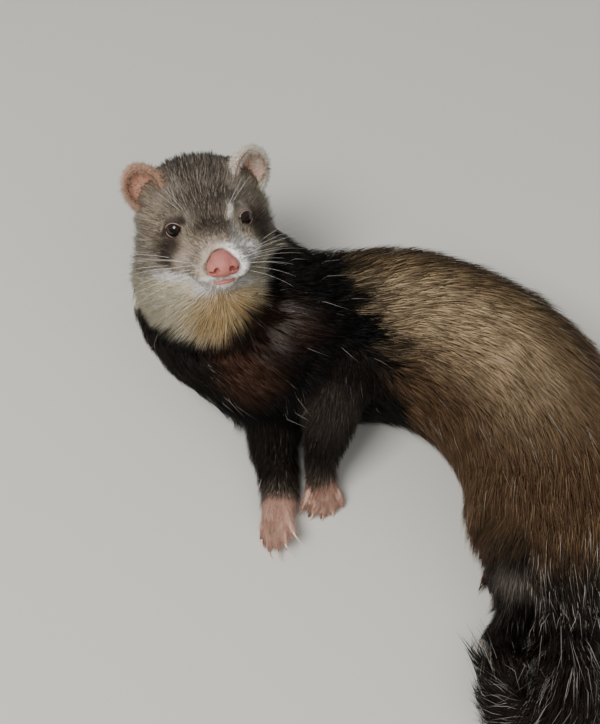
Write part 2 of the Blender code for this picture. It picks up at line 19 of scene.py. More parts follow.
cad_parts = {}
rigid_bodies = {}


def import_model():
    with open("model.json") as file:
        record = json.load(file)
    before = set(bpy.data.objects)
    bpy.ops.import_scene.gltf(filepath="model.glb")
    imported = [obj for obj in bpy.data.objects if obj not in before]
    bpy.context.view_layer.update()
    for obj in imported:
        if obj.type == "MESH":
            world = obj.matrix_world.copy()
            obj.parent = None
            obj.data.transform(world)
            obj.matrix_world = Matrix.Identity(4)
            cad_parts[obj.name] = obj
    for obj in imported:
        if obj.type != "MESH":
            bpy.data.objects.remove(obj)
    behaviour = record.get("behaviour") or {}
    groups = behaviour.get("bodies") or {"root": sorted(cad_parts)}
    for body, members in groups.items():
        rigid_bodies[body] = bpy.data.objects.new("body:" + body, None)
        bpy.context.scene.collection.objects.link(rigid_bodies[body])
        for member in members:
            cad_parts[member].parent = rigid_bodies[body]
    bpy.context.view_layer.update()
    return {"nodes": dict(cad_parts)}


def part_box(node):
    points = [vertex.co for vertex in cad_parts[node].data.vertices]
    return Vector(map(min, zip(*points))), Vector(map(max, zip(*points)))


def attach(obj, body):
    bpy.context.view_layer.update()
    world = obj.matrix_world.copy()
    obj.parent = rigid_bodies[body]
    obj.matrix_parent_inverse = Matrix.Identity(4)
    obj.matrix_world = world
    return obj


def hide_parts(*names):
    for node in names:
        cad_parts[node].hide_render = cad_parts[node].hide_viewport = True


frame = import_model()
MM = 0.001

# %% [markdown]
# ## Places that the pieces share
# The head has its own frame: x looks out along the nose, y goes to the animal's left and z to the crown. Its
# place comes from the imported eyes, so each small part of the face sits where the solids have it. The spine is
# one smooth line from the back of the head to the tip of the tail, and the coat follows it.

# %% The head's frame and the spine
HEAD_TURN, HEAD_LIFT, HEAD_ROLL = -73.8, 30.3, -3.0
EYES_IN_HEAD = (-2.6, 0.0, -0.4)
HEAD_IN_POSE = (-34.6, 30.0, 82.0)
# Points from the nape to the tip of the tail, in millimetres from home, and the number of the tail's first.
SPINE = (
    (-42, 44, 72), (-34, 30, 56), (-18, 16, 44), (0, 9, 36), (20, 11, 32), (48, 10.5, 31.5), (79, -9.5, 32),
    (95, -41, 32), (98, -66, 31), (98.5, -82, 27), (100, -94, 18), (100, -106, 14.2), (99.5, -119, 12.6),
    (96.5, -131, 11.8), (88.5, -139.5, 11.2), (79.5, -138, 9.6), (75.5, -129.5, 7.8), (76.5, -121.5, 6.2),
)
TAIL_FROM = 11
SPAN_POINTS = 14


def middle(node):
    """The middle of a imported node's box."""
    low, high = (Vector(corner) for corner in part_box(node))
    return (low + high) / 2


def vector(point):
    """A point in millimetres as a vector in metres."""
    return Vector(point) * MM


def distance(places, point):
    """How far each place is from a point, in millimetres."""
    return np.linalg.norm(places - np.array(point), axis=1) / MM


def catmull(points, index, part):
    """A point on the smooth curve through the points, past points[index] by the part."""
    last = len(points) - 1
    a, b, c, d = (points[min(max(index + k, 0), last)] for k in (-1, 0, 1, 2))
    squares = (2 * a - 5 * b + 4 * c - d) * part**2 + (3 * b - a - 3 * c + d) * part**3
    return 0.5 * (2 * b + (c - a) * part + squares)


def smooth_line(points, per_span):
    """More points, on the smooth curve through these."""
    spans = range(len(points) - 1)
    return [catmull(points, i, k / per_span) for i in spans for k in range(per_span)] + [points[-1]]


def frame_of(forward, up):
    """A turn whose x axis looks forward and whose z axis is near up."""
    x = Vector(forward).normalized()
    y = Vector(up).cross(x).normalized()
    return Matrix((x, y, x.cross(y))).transposed().to_4x4()


turned = Matrix.Rotation(math.radians(HEAD_TURN), 4, "Z")
turned = turned @ Matrix.Rotation(math.radians(-HEAD_LIFT), 4, "Y")
turned = turned @ Matrix.Rotation(math.radians(HEAD_ROLL), 4, "X")
eyes_middle = (middle("eye_left") + middle("eye_right")) / 2
head = Matrix.Translation(eyes_middle - turned @ vector(EYES_IN_HEAD)) @ turned
home = head.translation - vector(HEAD_IN_POSE)
spine = smooth_line([vector(point) + home for point in SPINE], SPAN_POINTS)
print("eyes at", [round(c, 4) for c in eyes_middle], "and", len(spine), "points on the spine")

# %% [markdown]
# ## Light, floor and camera
# The picture has soft daylight from the upper left. An area light half a metre wide gives it, a wider and
# dimmer one fills the shadows, and the world adds a pale sky. The camera looks down at the animal from its
# chest's side.

# %% Stage
CAMERA_FROM_EYES = (35.19, -270.41, 331.28)
CAMERA_DOWN = 58.0
LENS = 54.57
FLOOR_REACH = 4.0
WINDOW_AT, FILL_AT = (-0.42, -0.36, 1.02), (0.7, -1.1, 0.9)
LIGHTS_AIM = (0.0, 0.0, 0.03)
SKY_STRENGTH = 0.42


def linear(code):
    """An sRGB hex colour as linear red, green and blue."""
    parts = [int(code[k : k + 2], 16) / 255 for k in (1, 3, 5)]
    return tuple(c / 12.92 if c <= 0.04045 else ((c + 0.055) / 1.055) ** 2.4 for c in parts)


def add_node(tree, kind, values=None, **settings):
    """Add one node to a tree, with its settings and the values or links of its inputs."""
    node = tree.nodes.new(kind)
    for key, value in settings.items():
        setattr(node, key, value)
    for key, value in (values or {}).items():
        if isinstance(value, bpy.types.NodeSocket):
            tree.links.new(value, node.inputs[key])
        else:
            node.inputs[key].default_value = value
    return node


def new_material(name, code=None, **values):
    """A material of one Principled shader with this colour and these uniform values, its tree and shader."""
    material = bpy.data.materials.new(name)
    material.use_nodes = True
    shader = material.node_tree.nodes["Principled BSDF"]
    if code:
        shader.inputs["Base Color"].default_value = (*linear(code), 1.0)
    for key, value in values.items():
        shader.inputs[key.replace("_", " ")].default_value = value
    return material, material.node_tree, shader


def add_light(name, size, power, place):
    """A square area light that looks at the animal."""
    data = bpy.data.lights.new(name, "AREA")
    data.size = size
    data.energy = power
    light = bpy.data.objects.new(name, data)
    bpy.context.scene.collection.objects.link(light)
    light.location = place
    light.rotation_euler = (Vector(LIGHTS_AIM) - Vector(place)).to_track_quat("-Z", "Y").to_euler()
    return light


def add_object(name, data):
    """A linked object of this mesh or camera."""
    made = bpy.data.objects.new(name, data)
    bpy.context.scene.collection.objects.link(made)
    return made


camera_data = bpy.data.cameras.new("camera")
camera_data.lens = LENS
camera_data.clip_start = 0.01
camera = add_object("camera", camera_data)
camera.location = eyes_middle + vector(CAMERA_FROM_EYES)
down = math.radians(CAMERA_DOWN)
look = Vector((0.0, math.cos(down), -math.sin(down)))
camera.rotation_euler = look.to_track_quat("-Z", "Y").to_euler()
bpy.context.scene.camera = camera

floor_mesh = bpy.data.meshes.new("floor")
around = ((-1, -1), (1, -1), (1, 1), (-1, 1))
floor_mesh.from_pydata([(x * FLOOR_REACH, y * FLOOR_REACH, 0) for x, y in around], [], [(0, 1, 2, 3)])
floor = add_object("floor", floor_mesh)
# Matt pale studio paper.
floor_mesh.materials.append(new_material("studio_paper", "#d3cfc6", Roughness=0.9)[0])

add_light("window", 0.5, 12.5, WINDOW_AT)
fill = add_light("fill", 1.6, 8.0, FILL_AT)
# The fill leaves no second glint in the eyes.
fill.visible_glossy = False
world = bpy.data.worlds.new("sky")
bpy.context.scene.world = world
world.use_nodes = True
sky = world.node_tree.nodes["Background"].inputs
sky["Color"].default_value, sky["Strength"].default_value = (*linear("#dfe5ea"), 1.0), SKY_STRENGTH
print("camera at", [round(c, 3) for c in camera.location])

# %% [markdown]
# ## The skin
# The real skin lies under the coat, from less than a millimetre on the muzzle to most of a centimetre on the
# rump. All the flesh nodes are grown until they touch, fused by a fine voxel remesh into one closed surface,
# smoothed, and drawn inwards by the depth of the coat at each place. So nothing shows where two nodes meet.

# %% Skin
LEGS = ["foreleg_left", "foreleg_right", "hindleg_left", "hindleg_right"]
PAWS = ["forepaw_left", "forepaw_right", "hindpaw_left", "hindpaw_right"]
TORSO = ["neck", "torso_front", "torso_middle", "torso_rear"]
EYES, EARS = ("eye_left", "eye_right"), ("ear_left", "ear_right")
FLESH = ["head", *TORSO, "tail_base", *LEGS, *PAWS]
BRUSH = ["tail_middle", "tail_tip"]
LABELS = FLESH + ["tail"]
# Each paw's palm, the way its toes point, the way its back looks and the toes' length.
PAW_POSES = (
    ("forepaw_left", (9.0, -46.5, 7.5), (0.03, -0.88, -0.46), (0.25, -0.40, 0.87), 7.5),
    ("forepaw_right", (-8.6, -57.0, 5.2), (-0.04, -1.0, -0.05), (-0.70, 0.05, 0.70), 11.5),
    ("hindpaw_left", (78.5, -104.0, 5.2), (-0.30, -0.94, -0.10), (0.25, -0.15, 0.95), 8.0),
    ("hindpaw_right", (79.5, -80.5, 5.0), (-0.12, -0.99, -0.03), (0.0, 0.05, 1.0), 7.0),
)
PALM_SIZES = (4.6, 5.0, 4.6)
# The turn from toe to toe in degrees, and how far apart and how thick they are.
TOE_FAN, TOE_APART, TOE_RADIUS = 10.0, 2.9, 1.75
# Radii of the skin along the tail, and the size of the remesh's voxels, in millimetres.
TAIL_SKIN = (9.0, 7.4, 6.8, 6.6, 5.8, 4.4, 2.6)
SKIN_VOXEL = 0.85
SKIN_ROUNDS = 10
SKIN_FACES = 186000
NODE_GROWTH = 0.25
PAW_SHRINK = 1.0
# The part of the head that stays fine: its middle in the head's frame and its radius.
FINE_FACE, FINE_REACH = (6.0, 0.0, -6.0), 27.0
# What is left of the coat's depth where the body presses on the floor, and the lowest skin in metres.
PRESSED = 0.12
LOWEST_SKIN = 0.0002


def mesh_of(bm, name):
    """A new mesh from a bmesh, which isn't needed any more."""
    mesh = bpy.data.meshes.new(name)
    bm.to_mesh(mesh)
    bm.free()
    return mesh


def loose_copy(node):
    """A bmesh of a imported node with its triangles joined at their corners."""
    bm = bmesh.new()
    bm.from_mesh(frame["nodes"][node].data)
    bmesh.ops.remove_doubles(bm, verts=bm.verts, dist=1e-6)
    bm.normal_update()
    return bm


def paw_frames():
    """Each paw's name, its palm with x along the toes and z to its back, and the toes' length."""
    for name, palm, toward, back, length in PAW_POSES:
        yield name, Matrix.Translation(vector(palm) + home) @ frame_of(toward, back), length


def toe_lines(place, length):
    """The knuckle, joint and tip of each of a paw's five toes, in metres."""
    lines = []
    for toe in range(-2, 3):
        turn = Matrix.Rotation(math.radians(TOE_FAN * toe), 4, "Z")
        start = Matrix.Translation(vector((2.6 - 0.55 * toe * toe, TOE_APART * toe, 0.4)))
        reach = length * (1.0 - 0.05 * toe * toe)
        line = [vector(point) for point in ((0, 0, 0.5), (0.45 * reach, 0, 0.9), (0.95 * reach, 0, -0.7))]
        lines.append([place @ start @ turn @ point for point in line])
    return lines


def add_balls(whole, line, sizes, per_span):
    """Add overlapping balls along a line, with radii in millimetres."""
    sizes = [Vector((size, 0, 0)) for size in sizes]
    for centre, size in zip(smooth_line(line, per_span), smooth_line(sizes, per_span)):
        place = Matrix.Translation(centre)
        bmesh.ops.create_icosphere(whole, subdivisions=3, radius=size.x * MM, matrix=place)


def fused_flesh():
    """All flesh nodes, toes and the thin core of the tail as overlapping closed forms."""
    whole = bmesh.new()
    for node in FLESH:
        growth = -PAW_SHRINK if node in PAWS else NODE_GROWTH
        part = loose_copy(node)
        for vert in part.verts:
            vert.co += vert.normal * growth * MM
        step = mesh_of(part, "step")
        whole.from_mesh(step)
        bpy.data.meshes.remove(step)
    for _, place, length in paw_frames():
        add_balls(whole, [place @ vector((x, 0, 0.2)) for x in (-4.5, -1.0, 2.4)], PALM_SIZES, 3)
        for line in toe_lines(place, length):
            add_balls(whole, line, (TOE_RADIUS, TOE_RADIUS, TOE_RADIUS * 0.92), 4)
    add_balls(whole, [vector(point) + home for point in SPINE[TAIL_FROM:]], TAIL_SKIN, 8)
    return mesh_of(whole, "flesh")


def applied(obj):
    """The plain mesh that an object's modifiers make, with the object removed."""
    made = bpy.data.meshes.new_from_object(obj.evaluated_get(bpy.context.evaluated_depsgraph_get()))
    bpy.data.objects.remove(obj, do_unlink=True)
    return made


def remeshed(mesh, voxel):
    """The mesh fused at this voxel size, in millimetres, as triangles."""
    obj = add_object("step", mesh)
    remesh = obj.modifiers.new("fuse", "REMESH")
    remesh.mode = "VOXEL"
    remesh.voxel_size = voxel * MM
    obj.modifiers.new("triangles", "TRIANGULATE")
    return applied(obj)


def thinned(mesh, chosen, faces):
    """The mesh with about this many faces, thinned only at the chosen corners."""
    obj = add_object("step", mesh)
    group = obj.vertex_groups.new(name="thin")
    group.add(np.flatnonzero(chosen).tolist(), 1.0, "REPLACE")
    thin = obj.modifiers.new("thin", "DECIMATE")
    thin.vertex_group = group.name
    thin.ratio = faces / len(mesh.polygons)
    thin.use_collapse_triangulate = True
    obj.modifiers.new("triangles", "TRIANGULATE")
    return applied(obj)


def arrays_of(mesh):
    """Corner places, triangles, edges and outward normals of a mesh of triangles."""
    places = np.empty(len(mesh.vertices) * 3)
    mesh.vertices.foreach_get("co", places)
    corners = np.empty(len(mesh.loops), dtype=np.int64)
    mesh.loops.foreach_get("vertex_index", corners)
    edges = np.empty(len(mesh.edges) * 2, dtype=np.int64)
    mesh.edges.foreach_get("vertices", edges)
    places = places.reshape(-1, 3)
    triangles = corners.reshape(-1, 3)
    return places, triangles, edges.reshape(-1, 2), normals_of(places, triangles)


def unit(rows):
    """Each row scaled to a length of one."""
    return rows / np.maximum(np.linalg.norm(rows, axis=1), 1e-12)[:, None]


def normals_of(places, triangles):
    """Outward normals at the corners, weighted by the area of the triangles round them."""
    a, b, c = (places[triangles[:, k]] for k in range(3))
    faces = np.cross(b - a, c - a)
    total = np.zeros_like(places)
    for k in range(3):
        for axis in range(3):
            total[:, axis] += np.bincount(triangles[:, k], faces[:, axis], len(places))
    return unit(total)


def spread(values, edges, rounds):
    """Blend each corner's values with its neighbours', this many rounds."""
    flat = values.reshape(len(values), -1).copy()
    count = np.bincount(edges.ravel(), minlength=len(flat))[:, None]
    for _ in range(rounds):
        total = np.empty_like(flat)
        for k in range(flat.shape[1]):
            there = np.bincount(edges[:, 0], flat[edges[:, 1], k], len(flat))
            back = np.bincount(edges[:, 1], flat[edges[:, 0], k], len(flat))
            total[:, k] = there + back
        flat = 0.5 * flat + 0.5 * total / count
    return flat.reshape(values.shape)


def ramp(values, start, end):
    """0 before start, 1 after end and smooth between."""
    part = np.clip((values - start) / (end - start), 0.0, 1.0)
    return part * part * (3 - 2 * part)


def seen_from(place, places):
    """Places in a frame of its own, in millimetres."""
    return (places - np.array(place.translation)) @ np.array(place.to_3x3()) / MM


def in_head(places):
    """Places in the head's frame, in millimetres."""
    return seen_from(head, places)


def nearest_node(places):
    """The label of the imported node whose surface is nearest, for each place."""
    marks = []
    for label, node in enumerate(FLESH):
        mesh = frame["nodes"][node].data
        marks += [(v.co, label) for v in mesh.vertices]
        marks += [(p.center, label) for p in mesh.polygons]
    marks += [(point, len(FLESH)) for point in spine[TAIL_FROM * SPAN_POINTS + 12 :]]
    tree = KDTree(len(marks))
    for index, (place, _) in enumerate(marks):
        tree.insert(place, index)
    tree.balance()
    return np.array([marks[tree.find(place)[1]][1] for place in places])


def of_labels(values, default):
    """A number for each corner, from the names that start its label."""
    found = [next((v for k, v in values.items() if name.startswith(k)), default) for name in LABELS]
    return np.array(found)[labels]


def labelled(*names):
    """Which corners have these labels."""
    return np.isin(labels, [LABELS.index(name) for name in names])


def softly(*names, rounds=6):
    """1 at the corners with these labels and 0 elsewhere, with a soft edge."""
    return spread(labelled(*names).astype(float), edges, rounds)


def coat_depth():
    """How deep the coat is at each corner, in millimetres."""
    body = {"neck": 5.5, "torso_rear": 6.5, "torso": 6.0, "tail_base": 5.0, "tail": 0.0}
    depth = of_labels({**body, "forepaw": 0.3, "hindpaw": 0.3}, 2.6)
    local = in_head(places)
    back = ramp(-local[:, 0], -16.0, 26.0)
    aside = ramp(np.abs(local[:, 1]), 12.0, 26.0)
    face = 0.5 + 2.6 * back + 2.2 * aside * back
    return np.where(labelled("head"), face, depth)


def smoothed_skin():
    """The fused flesh smoothed, less at the face and paws, and thinned elsewhere."""
    mesh = remeshed(fused_flesh(), SKIN_VOXEL)
    places, _, edges, _ = arrays_of(mesh)
    fine = np.linalg.norm(in_head(places) - np.array(FINE_FACE), axis=1) < FINE_REACH
    for _, place, length in paw_frames():
        fine |= distance(places, place.translation) < length + 8.0
    soft = spread(places, edges, SKIN_ROUNDS)
    less = spread(places, edges, SKIN_ROUNDS // 4)
    share = spread(fine.astype(float), edges, 8)[:, None]
    mesh.vertices.foreach_set("co", (soft + (less - soft) * share).ravel())
    return thinned(mesh, ~fine, SKIN_FACES)


skin_mesh = smoothed_skin()
places, triangles, edges, normals = arrays_of(skin_mesh)
labels = nearest_node(places)
# Other nodes come close to the toes of the forepaws, so these get their label from the paw's frame.
for name, place, length in paw_frames():
    if "fore" in name:
        from_palm = seen_from(place, places)
        toes = (from_palm[:, 0] > 1.5) & (np.linalg.norm(from_palm, axis=1) < length + 6.0)
        labels[toes] = LABELS.index(name)
depth = spread(coat_depth(), edges, 30)
# The coat gets thinner round the eyes and ears, and is pressed flat at the floor.
for parts, least, near, far in ((EYES, 0.3, 5.5, 9.5), (EARS, 0.4, 10.0, 17.0)):
    for node in parts:
        depth = least + (depth - least) * ramp(distance(places, middle(node)), near, far)
steepness = np.where(normals[:, 2] < 0, 1.0, 0.15)
depth *= PRESSED + (1 - PRESSED) * ramp(places[:, 2] / MM, 0.5, 14.0) ** steepness
places = spread(places - normals * (depth * MM)[:, None], edges, 2)
places[:, 2] = np.maximum(places[:, 2], LOWEST_SKIN)
normals = normals_of(places, triangles)
skin_mesh.vertices.foreach_set("co", places.ravel())
print("skin of", len(triangles), "triangles")

# %% [markdown]
# ## Which way the coat lies
# Hair on a real animal points away from the nose, back along the body, down each leg and out along the tail.
# Each corner of the skin gets such a direction, and the directions are blended with their neighbours' so that
# the coat turns smoothly from one part to the next.

# %% Lie of the coat
NOSE_TIP = (25.0, 0.0, -8.0)
NOSE_MIDDLE = (22.0, 0.0, -8.8)
BLOCK = 4096


def nearest_on_spine():
    """The number of the spine's nearest point, for each corner."""
    found = np.empty(len(places), dtype=np.int64)
    for start in range(0, len(places), BLOCK):
        away = np.linalg.norm(places[start : start + BLOCK, None] - spine_line, axis=2)
        found[start : start + BLOCK] = away.argmin(axis=1)
    return found


def lie_of_coat():
    """The direction in which the hair lies at each corner."""
    from_nose = unit(in_head(places) - np.array(NOSE_TIP)) @ np.array(head.to_3x3()).T
    lie = np.where(labelled("head")[:, None], from_nose, spine_way[nearest])
    for leg, paw in zip(LEGS, PAWS):
        lie[labelled(leg, paw)] = np.array((middle(paw) - middle(leg)).normalized())
    for _ in range(3):
        lie = spread(lie, edges, 8)
        lie = unit(lie - normals * np.sum(lie * normals, axis=1)[:, None])
    return lie


spine_line = np.array(spine)
spine_way = unit(np.gradient(spine_line, axis=0))
nearest = nearest_on_spine()
lie = lie_of_coat()
print("lie of the coat at", len(lie), "corners")

# %% [markdown]
# ## Markings
# A sable ferret has pale underfur and dark guard hairs. The mask round the eyes is dark brown, and the
# shoulders, the legs and the end of the tail are nearly black. The muzzle and brow are pale, the throat is
# ochre and the flanks are golden. Each marking is a soft-edged region of the head's frame or of the body, and
# the coat and the skin both carry it.

# %% Markings
steps = [(b - a).length for a, b in zip(spine, spine[1:])]
LENGTHS = np.concatenate(([0.0], np.cumsum(steps))) / MM
SILVER = linear("#aaa399")


def waves(places, size, seed):
    """A smooth noise between -1 and 1 whose bumps are about this many millimetres across."""
    draw = np.random.default_rng(seed)
    total = np.zeros(len(places))
    for _ in range(7):
        way = unit(draw.normal(size=(1, 3)))[0]
        turn = draw.uniform(0.7, 1.6) * math.tau / (2 * size)
        total += np.sin(places @ way / MM * turn + draw.uniform(0, math.tau))
    return total / 4.0


def paint(coat, weight, under, tips, other, share):
    """Blend new colours into the coat by the weight: underfur, tips, other tips and the share of those."""
    new = np.array((*linear(under), *linear(tips), *linear(other), share))
    coat += (new - coat) * np.clip(weight, 0.0, 1.0)[:, None]


def inside(points, centre, radii, soft=0.35):
    """1 inside an ellipsoid, 0 outside, with a soft edge."""
    away = np.linalg.norm((points - np.array(centre)) / np.array(radii), axis=1)
    return 1.0 - ramp(away, 1.0 - soft, 1.0 + soft)


def paint_face(coat, local, jitter):
    """The face's markings, from places in the head's frame."""
    x, y, z = local.T + jitter[None, :] * np.array((1.3, 1.0, 1.0))[:, None]
    wide = np.abs(y)
    both = np.stack((x, wide, z), axis=1)
    everywhere = np.ones(len(local))
    back = ramp(-x, 26.0, 40.0)
    paint(coat, everywhere, "#ab9880", "#dccab1", "#7c6a54", 0.30)
    crown = ramp(z, 1.0, 8.0) * (1 - ramp(wide, 12.0, 21.0))
    paint(coat, crown, "#a8947e", "#6a5a4e", "#e0d5c4", 0.42)
    paint(coat, crown * (1 - ramp(wide, 4.0, 13.0)), "#8d7a68", "#504237", "#d8ccbb", 0.40)
    paint(coat, back, "#6b5846", "#35291f", "#8c7a66", 0.3)
    band = ramp(wide, 18.5, 22.5) * (1 - ramp(z, 5.0, 12.0)) * (1 - back)
    paint(coat, band, "#a08e76", "#e6dbc7", "#7d6b58", 0.30)
    paint(coat, inside(both, (13.0, 0.0, 0.0), (7.0, 7.0, 5.0)), "#b3a18f", "#b8a48f", "#7d6d5e", 0.33)
    paint(coat, inside(both, (2.0, 0.0, 4.5), (12.5, 8.0, 6.5)), "#8b7867", "#4f4033", "#c9bcab", 0.40)
    left = y > 0
    right_mask = inside(both, (5.5, 16.8, -6.3), (7.5, 5.5, 6.0), 0.35) * ~left
    left_mask = inside(both, (1.0, 18.6, -3.8), (9.0, 4.6, 7.5), 0.35) * left
    paint(coat, right_mask + left_mask, "#6b5a4e", "#3f3127", "#8b7a6b", 0.30)
    paint(coat, inside(both, (-2.6, 12.6, -0.4), (5.9, 5.9, 5.9), 0.2), "#4a3b31", "#2b211b", "#8d7d70", 0.3)
    brow = inside(both, (-8.0, 15.5, 10.5), (12.0, 5.5, 8.5), 0.5) * np.where(left, 0.8, 0.25)
    paint(coat, brow, "#b5a592", "#d6cab8", "#8d7d6c", 0.3)
    strip = inside(both, (0.0, 8.0, 2.6), (7.0, 1.2, 4.2), 0.4) * np.where(left, 1.0, 0.2)
    beside_nose = inside(both, (9.5, 7.6, -3.2), (6.5, 2.6, 4.5), 0.45) * np.where(left, 0.9, 0.0)
    paint(coat, np.maximum(strip, beside_nose), "#e3d8ca", "#ece4d8", "#c4b7a7", 0.25)
    muzzle = ramp(x + 0.35 * np.minimum(-z - 6.0, 8.0), 8.5, 12.5) * (1 - ramp(z, -3.5, -0.5))
    paint(coat, muzzle, "#cbb8a5", "#c9b6a2", "#8b7a6c", 0.30)
    paint(coat, muzzle * ramp(y, -3.0, 6.0), "#f6eee5", "#fdf8f2", "#cbbfb2", 0.22)
    jaw = ramp(-z, 12.0, 15.0) * ramp(x, -2.0, 6.0)
    paint(coat, jaw, "#f6eee6", "#fdf8f3", "#d8cabb", 0.2)


# Where the bib ends, in the head's frame: its left border's sideways place for each height, and its foot's
# height for each sideways place.
BIB_SIDE = ((-40.0, -33.6, -27.0, -25.0, -20.0, -15.0), (-5.0, -1.5, 4.0, 12.5, 19.0, 26.0))
BIB_FOOT = ((-34.0, -30.0, -20.0, -10.0, 0.0), (-22.5, -28.5, -32.0, -34.2, -35.4))


def paint_throat(coat, places, jitter):
    """The ochre bib and its border with the black chest, over head, neck and shoulder."""
    hx, hy, hz = in_head(places).T
    wx, wy, wz = (places - np.array(home)).T / MM
    near = softly("head", "neck")
    under_chin = ramp(-hz + 0.25 * hx, 23.5, 26.0) * ramp(hx, -24.0, -10.0) * (wz > 30)
    under_jaw = ramp(-hz, 15.0, 19.0) * ramp(np.abs(hy), 8.0, 13.0) * ramp(hx, -24.0, -12.0) * (wz > 30)
    bib = np.maximum(under_chin, under_jaw) * ramp(near, 0.45, 0.95)
    paint(coat, bib, "#d3c3a2", "#e4d6b6", "#f5eedd", 0.40)
    middle_bib = inside(np.stack((hx, hy, hz), axis=1), (19.0, 0.0, -28.0), (16.0, 12.0, 9.0), 0.6)
    paint(coat, bib * middle_bib, "#b6986a", "#c9a46e", "#e4d2ac", 0.35)
    edge = np.interp(hz, BIB_SIDE[0], BIB_SIDE[1])
    beside = ramp(hy + 1.3 * jitter - edge, -1.0, 1.6) * ramp(-hz, 13.0, 17.0)
    low = np.interp(hy, BIB_FOOT[0], BIB_FOOT[1])
    below = ramp(low - hz + 1.5 * jitter, -1.0, 1.6)
    beyond = ramp(-wx + 2.0 * jitter, 63.0, 67.0) * (wz < 70)
    black = np.maximum(np.maximum(beside, below), beyond * ramp(-hz, 14.0, 18.0))
    paint(coat, black * np.minimum(2.0 * near, 1.0), "#1d1612", "#120e0b", "#2e221b", 0.2)
    where = np.stack((wx, wy, wz), axis=1)
    for centre, radii, share in (((-26, -16, 56), (13, 9, 14), 0.8), ((-11, -1, 62), (12, 9, 9), 0.45)):
        paint(coat, black * inside(where, centre, radii, 0.5) * share, "#4a2f20", "#472d1e", "#5e4230", 0.3)


def towards_back():
    """1 along the middle of the back and -1 along the belly, for each corner."""
    way = spine_way[nearest]
    outward = unit(np.stack((-way[:, 1], way[:, 0], 0.75 * np.ones(len(way))), axis=1))
    return np.sum(unit(places - spine_line[nearest]) * outward, axis=1)


def paint_body(coat, jitter):
    """All the other markings, from the spine and the pose."""
    x, y, z = (places - np.array(home)).T / MM
    x, y = x + 2.5 * jitter, y + 2.5 * jitter
    where = np.stack((x, y, z), axis=1)
    length = LENGTHS[nearest] + 3.0 * jitter
    up_back = towards_back()
    paint(coat, np.ones(len(places)), "#ae9570", "#bfa683", "#5a4734", 0.24)
    paint(coat, 1 - ramp(up_back, -0.45, 0.35), "#6d543b", "#664c34", "#35271c", 0.4)
    paint(coat, ramp(up_back, 0.60, 0.84), "#8f775a", "#86704f", "#3f3024", 0.4)
    paint(coat, ramp(up_back, 0.84, 0.96), "#4a3a2c", "#33271d", "#7c674d", 0.28)
    paint(coat, ramp(length, 142.0, 206.0), "#674e36", "#523c29", "#775f44", 0.27)
    front = 1 - ramp(length + 5.0 * jitter + 19.0 * up_back, 84.0, 106.0)
    paint(coat, front, "#0f0b09", "#070606", "#17110e", 0.2)
    last = ramp(-y, 80.0, 90.0) * ramp(length, 150.0, 170.0)
    paint(coat, last, "#2b221b", "#1d1713", "#4b3f35", 0.3)
    for name in LEGS:
        on_leg = softly(name) if "fore" in name else softly(name, rounds=24) * ramp(-y, 76.0, 90.0)
        paint(coat, on_leg, "#241b16", "#17120f", "#3b2f27", 0.25)
    paint(coat, inside(where, (11, -30, 46), (13, 13, 11), 0.5) * 0.5, "#55493f", "#4a3f37", "#75695d", 0.3)
    paint(coat, inside(where, (78, -94, 33), (8, 8, 8), 0.5) * 0.9, "#75685a", "#8b7f71", "#c4bbad", 0.35)
    for (name, place, _), leg in zip(paw_frames(), LEGS):
        wrist = 1 - ramp(distance(places, place.translation) + 2.0 * jitter, 9.0, 21.0)
        paint(coat, 0.7 * wrist * labelled(name, leg), "#54473b", "#5d5043", "#a99b89", 0.35)
        tips = "#dac6a9" if "fore" in name else "#8d7c6b"
        paint(coat, softly(name), "#cf8f80", tips, "#d9a294", 0.45)
    paint(coat, ramp(length, 232.0, 246.0), "#241a14", "#16110d", "#30241c", 0.25)


def coat_colours():
    """Underfur, tips, other tips and their share at each corner of the skin."""
    jitter = waves(places, 4.0, 3)
    body, face = np.zeros((len(places), 10)), np.zeros((len(places), 10))
    paint_body(body, jitter)
    paint_face(face, in_head(places), 0.8 * jitter)
    mixed = body + (face - body) * softly("head")[:, None]
    paint_throat(mixed, places, jitter)
    return mixed


coat = coat_colours()
print("mean colour of the tips", coat[:, 3:6].mean(axis=0).round(3))

# %% [markdown]
# ## The unwrap of the skin
# Each part of the body is seen along the six directions of the axes, and each of these views of its faces is
# a chart of the unwrap. Every chart has a cell of a square grid. A tuft's patch lies at its root's place
# there.

# %% Unwrap
CHARTS = [["head"], TORSO, ["tail_base", "tail"], *([leg, paw] for leg, paw in zip(LEGS, PAWS))]
CELLS = 7
CELL_MARGIN = 0.006


def unwrapped():
    """The place of each triangle's corners on the unwrap."""
    group_of = np.array([next(i for i, names in enumerate(CHARTS) if name in names) for name in LABELS])
    groups = group_of[labels[triangles[:, 0]]]
    corners = places[triangles]
    facing = np.cross(corners[:, 1] - corners[:, 0], corners[:, 2] - corners[:, 0])
    axis = np.abs(facing).argmax(axis=1)
    ahead = facing[np.arange(len(facing)), axis] > 0
    found = np.zeros((len(triangles), 3, 2))
    for group in range(len(CHARTS)):
        for way in range(6):
            chosen = (groups == group) & (axis == way // 2) & (ahead == (way % 2 == 0))
            if not chosen.any():
                continue
            flat = np.delete(corners[chosen], way // 2, axis=2)
            low, high = flat.min(axis=(0, 1)), flat.max(axis=(0, 1))
            cell = group * 6 + way
            corner = np.array((cell % CELLS, cell // CELLS)) / CELLS + CELL_MARGIN
            found[chosen] = corner + (flat - low) / (high - low).max() * (1 / CELLS - 2 * CELL_MARGIN)
    return found


skin_uv = unwrapped()
print("unwrap from", skin_uv.min().round(3), "to", skin_uv.max().round(3))

# %% [markdown]
# ## Skin and coat materials
# Hair has a soft, slightly streaked shine. Both materials read their colour from the same attribute, and a
# fine noise of less than a millimetre breaks it up as single hairs do.

# %% Materials of skin and coat


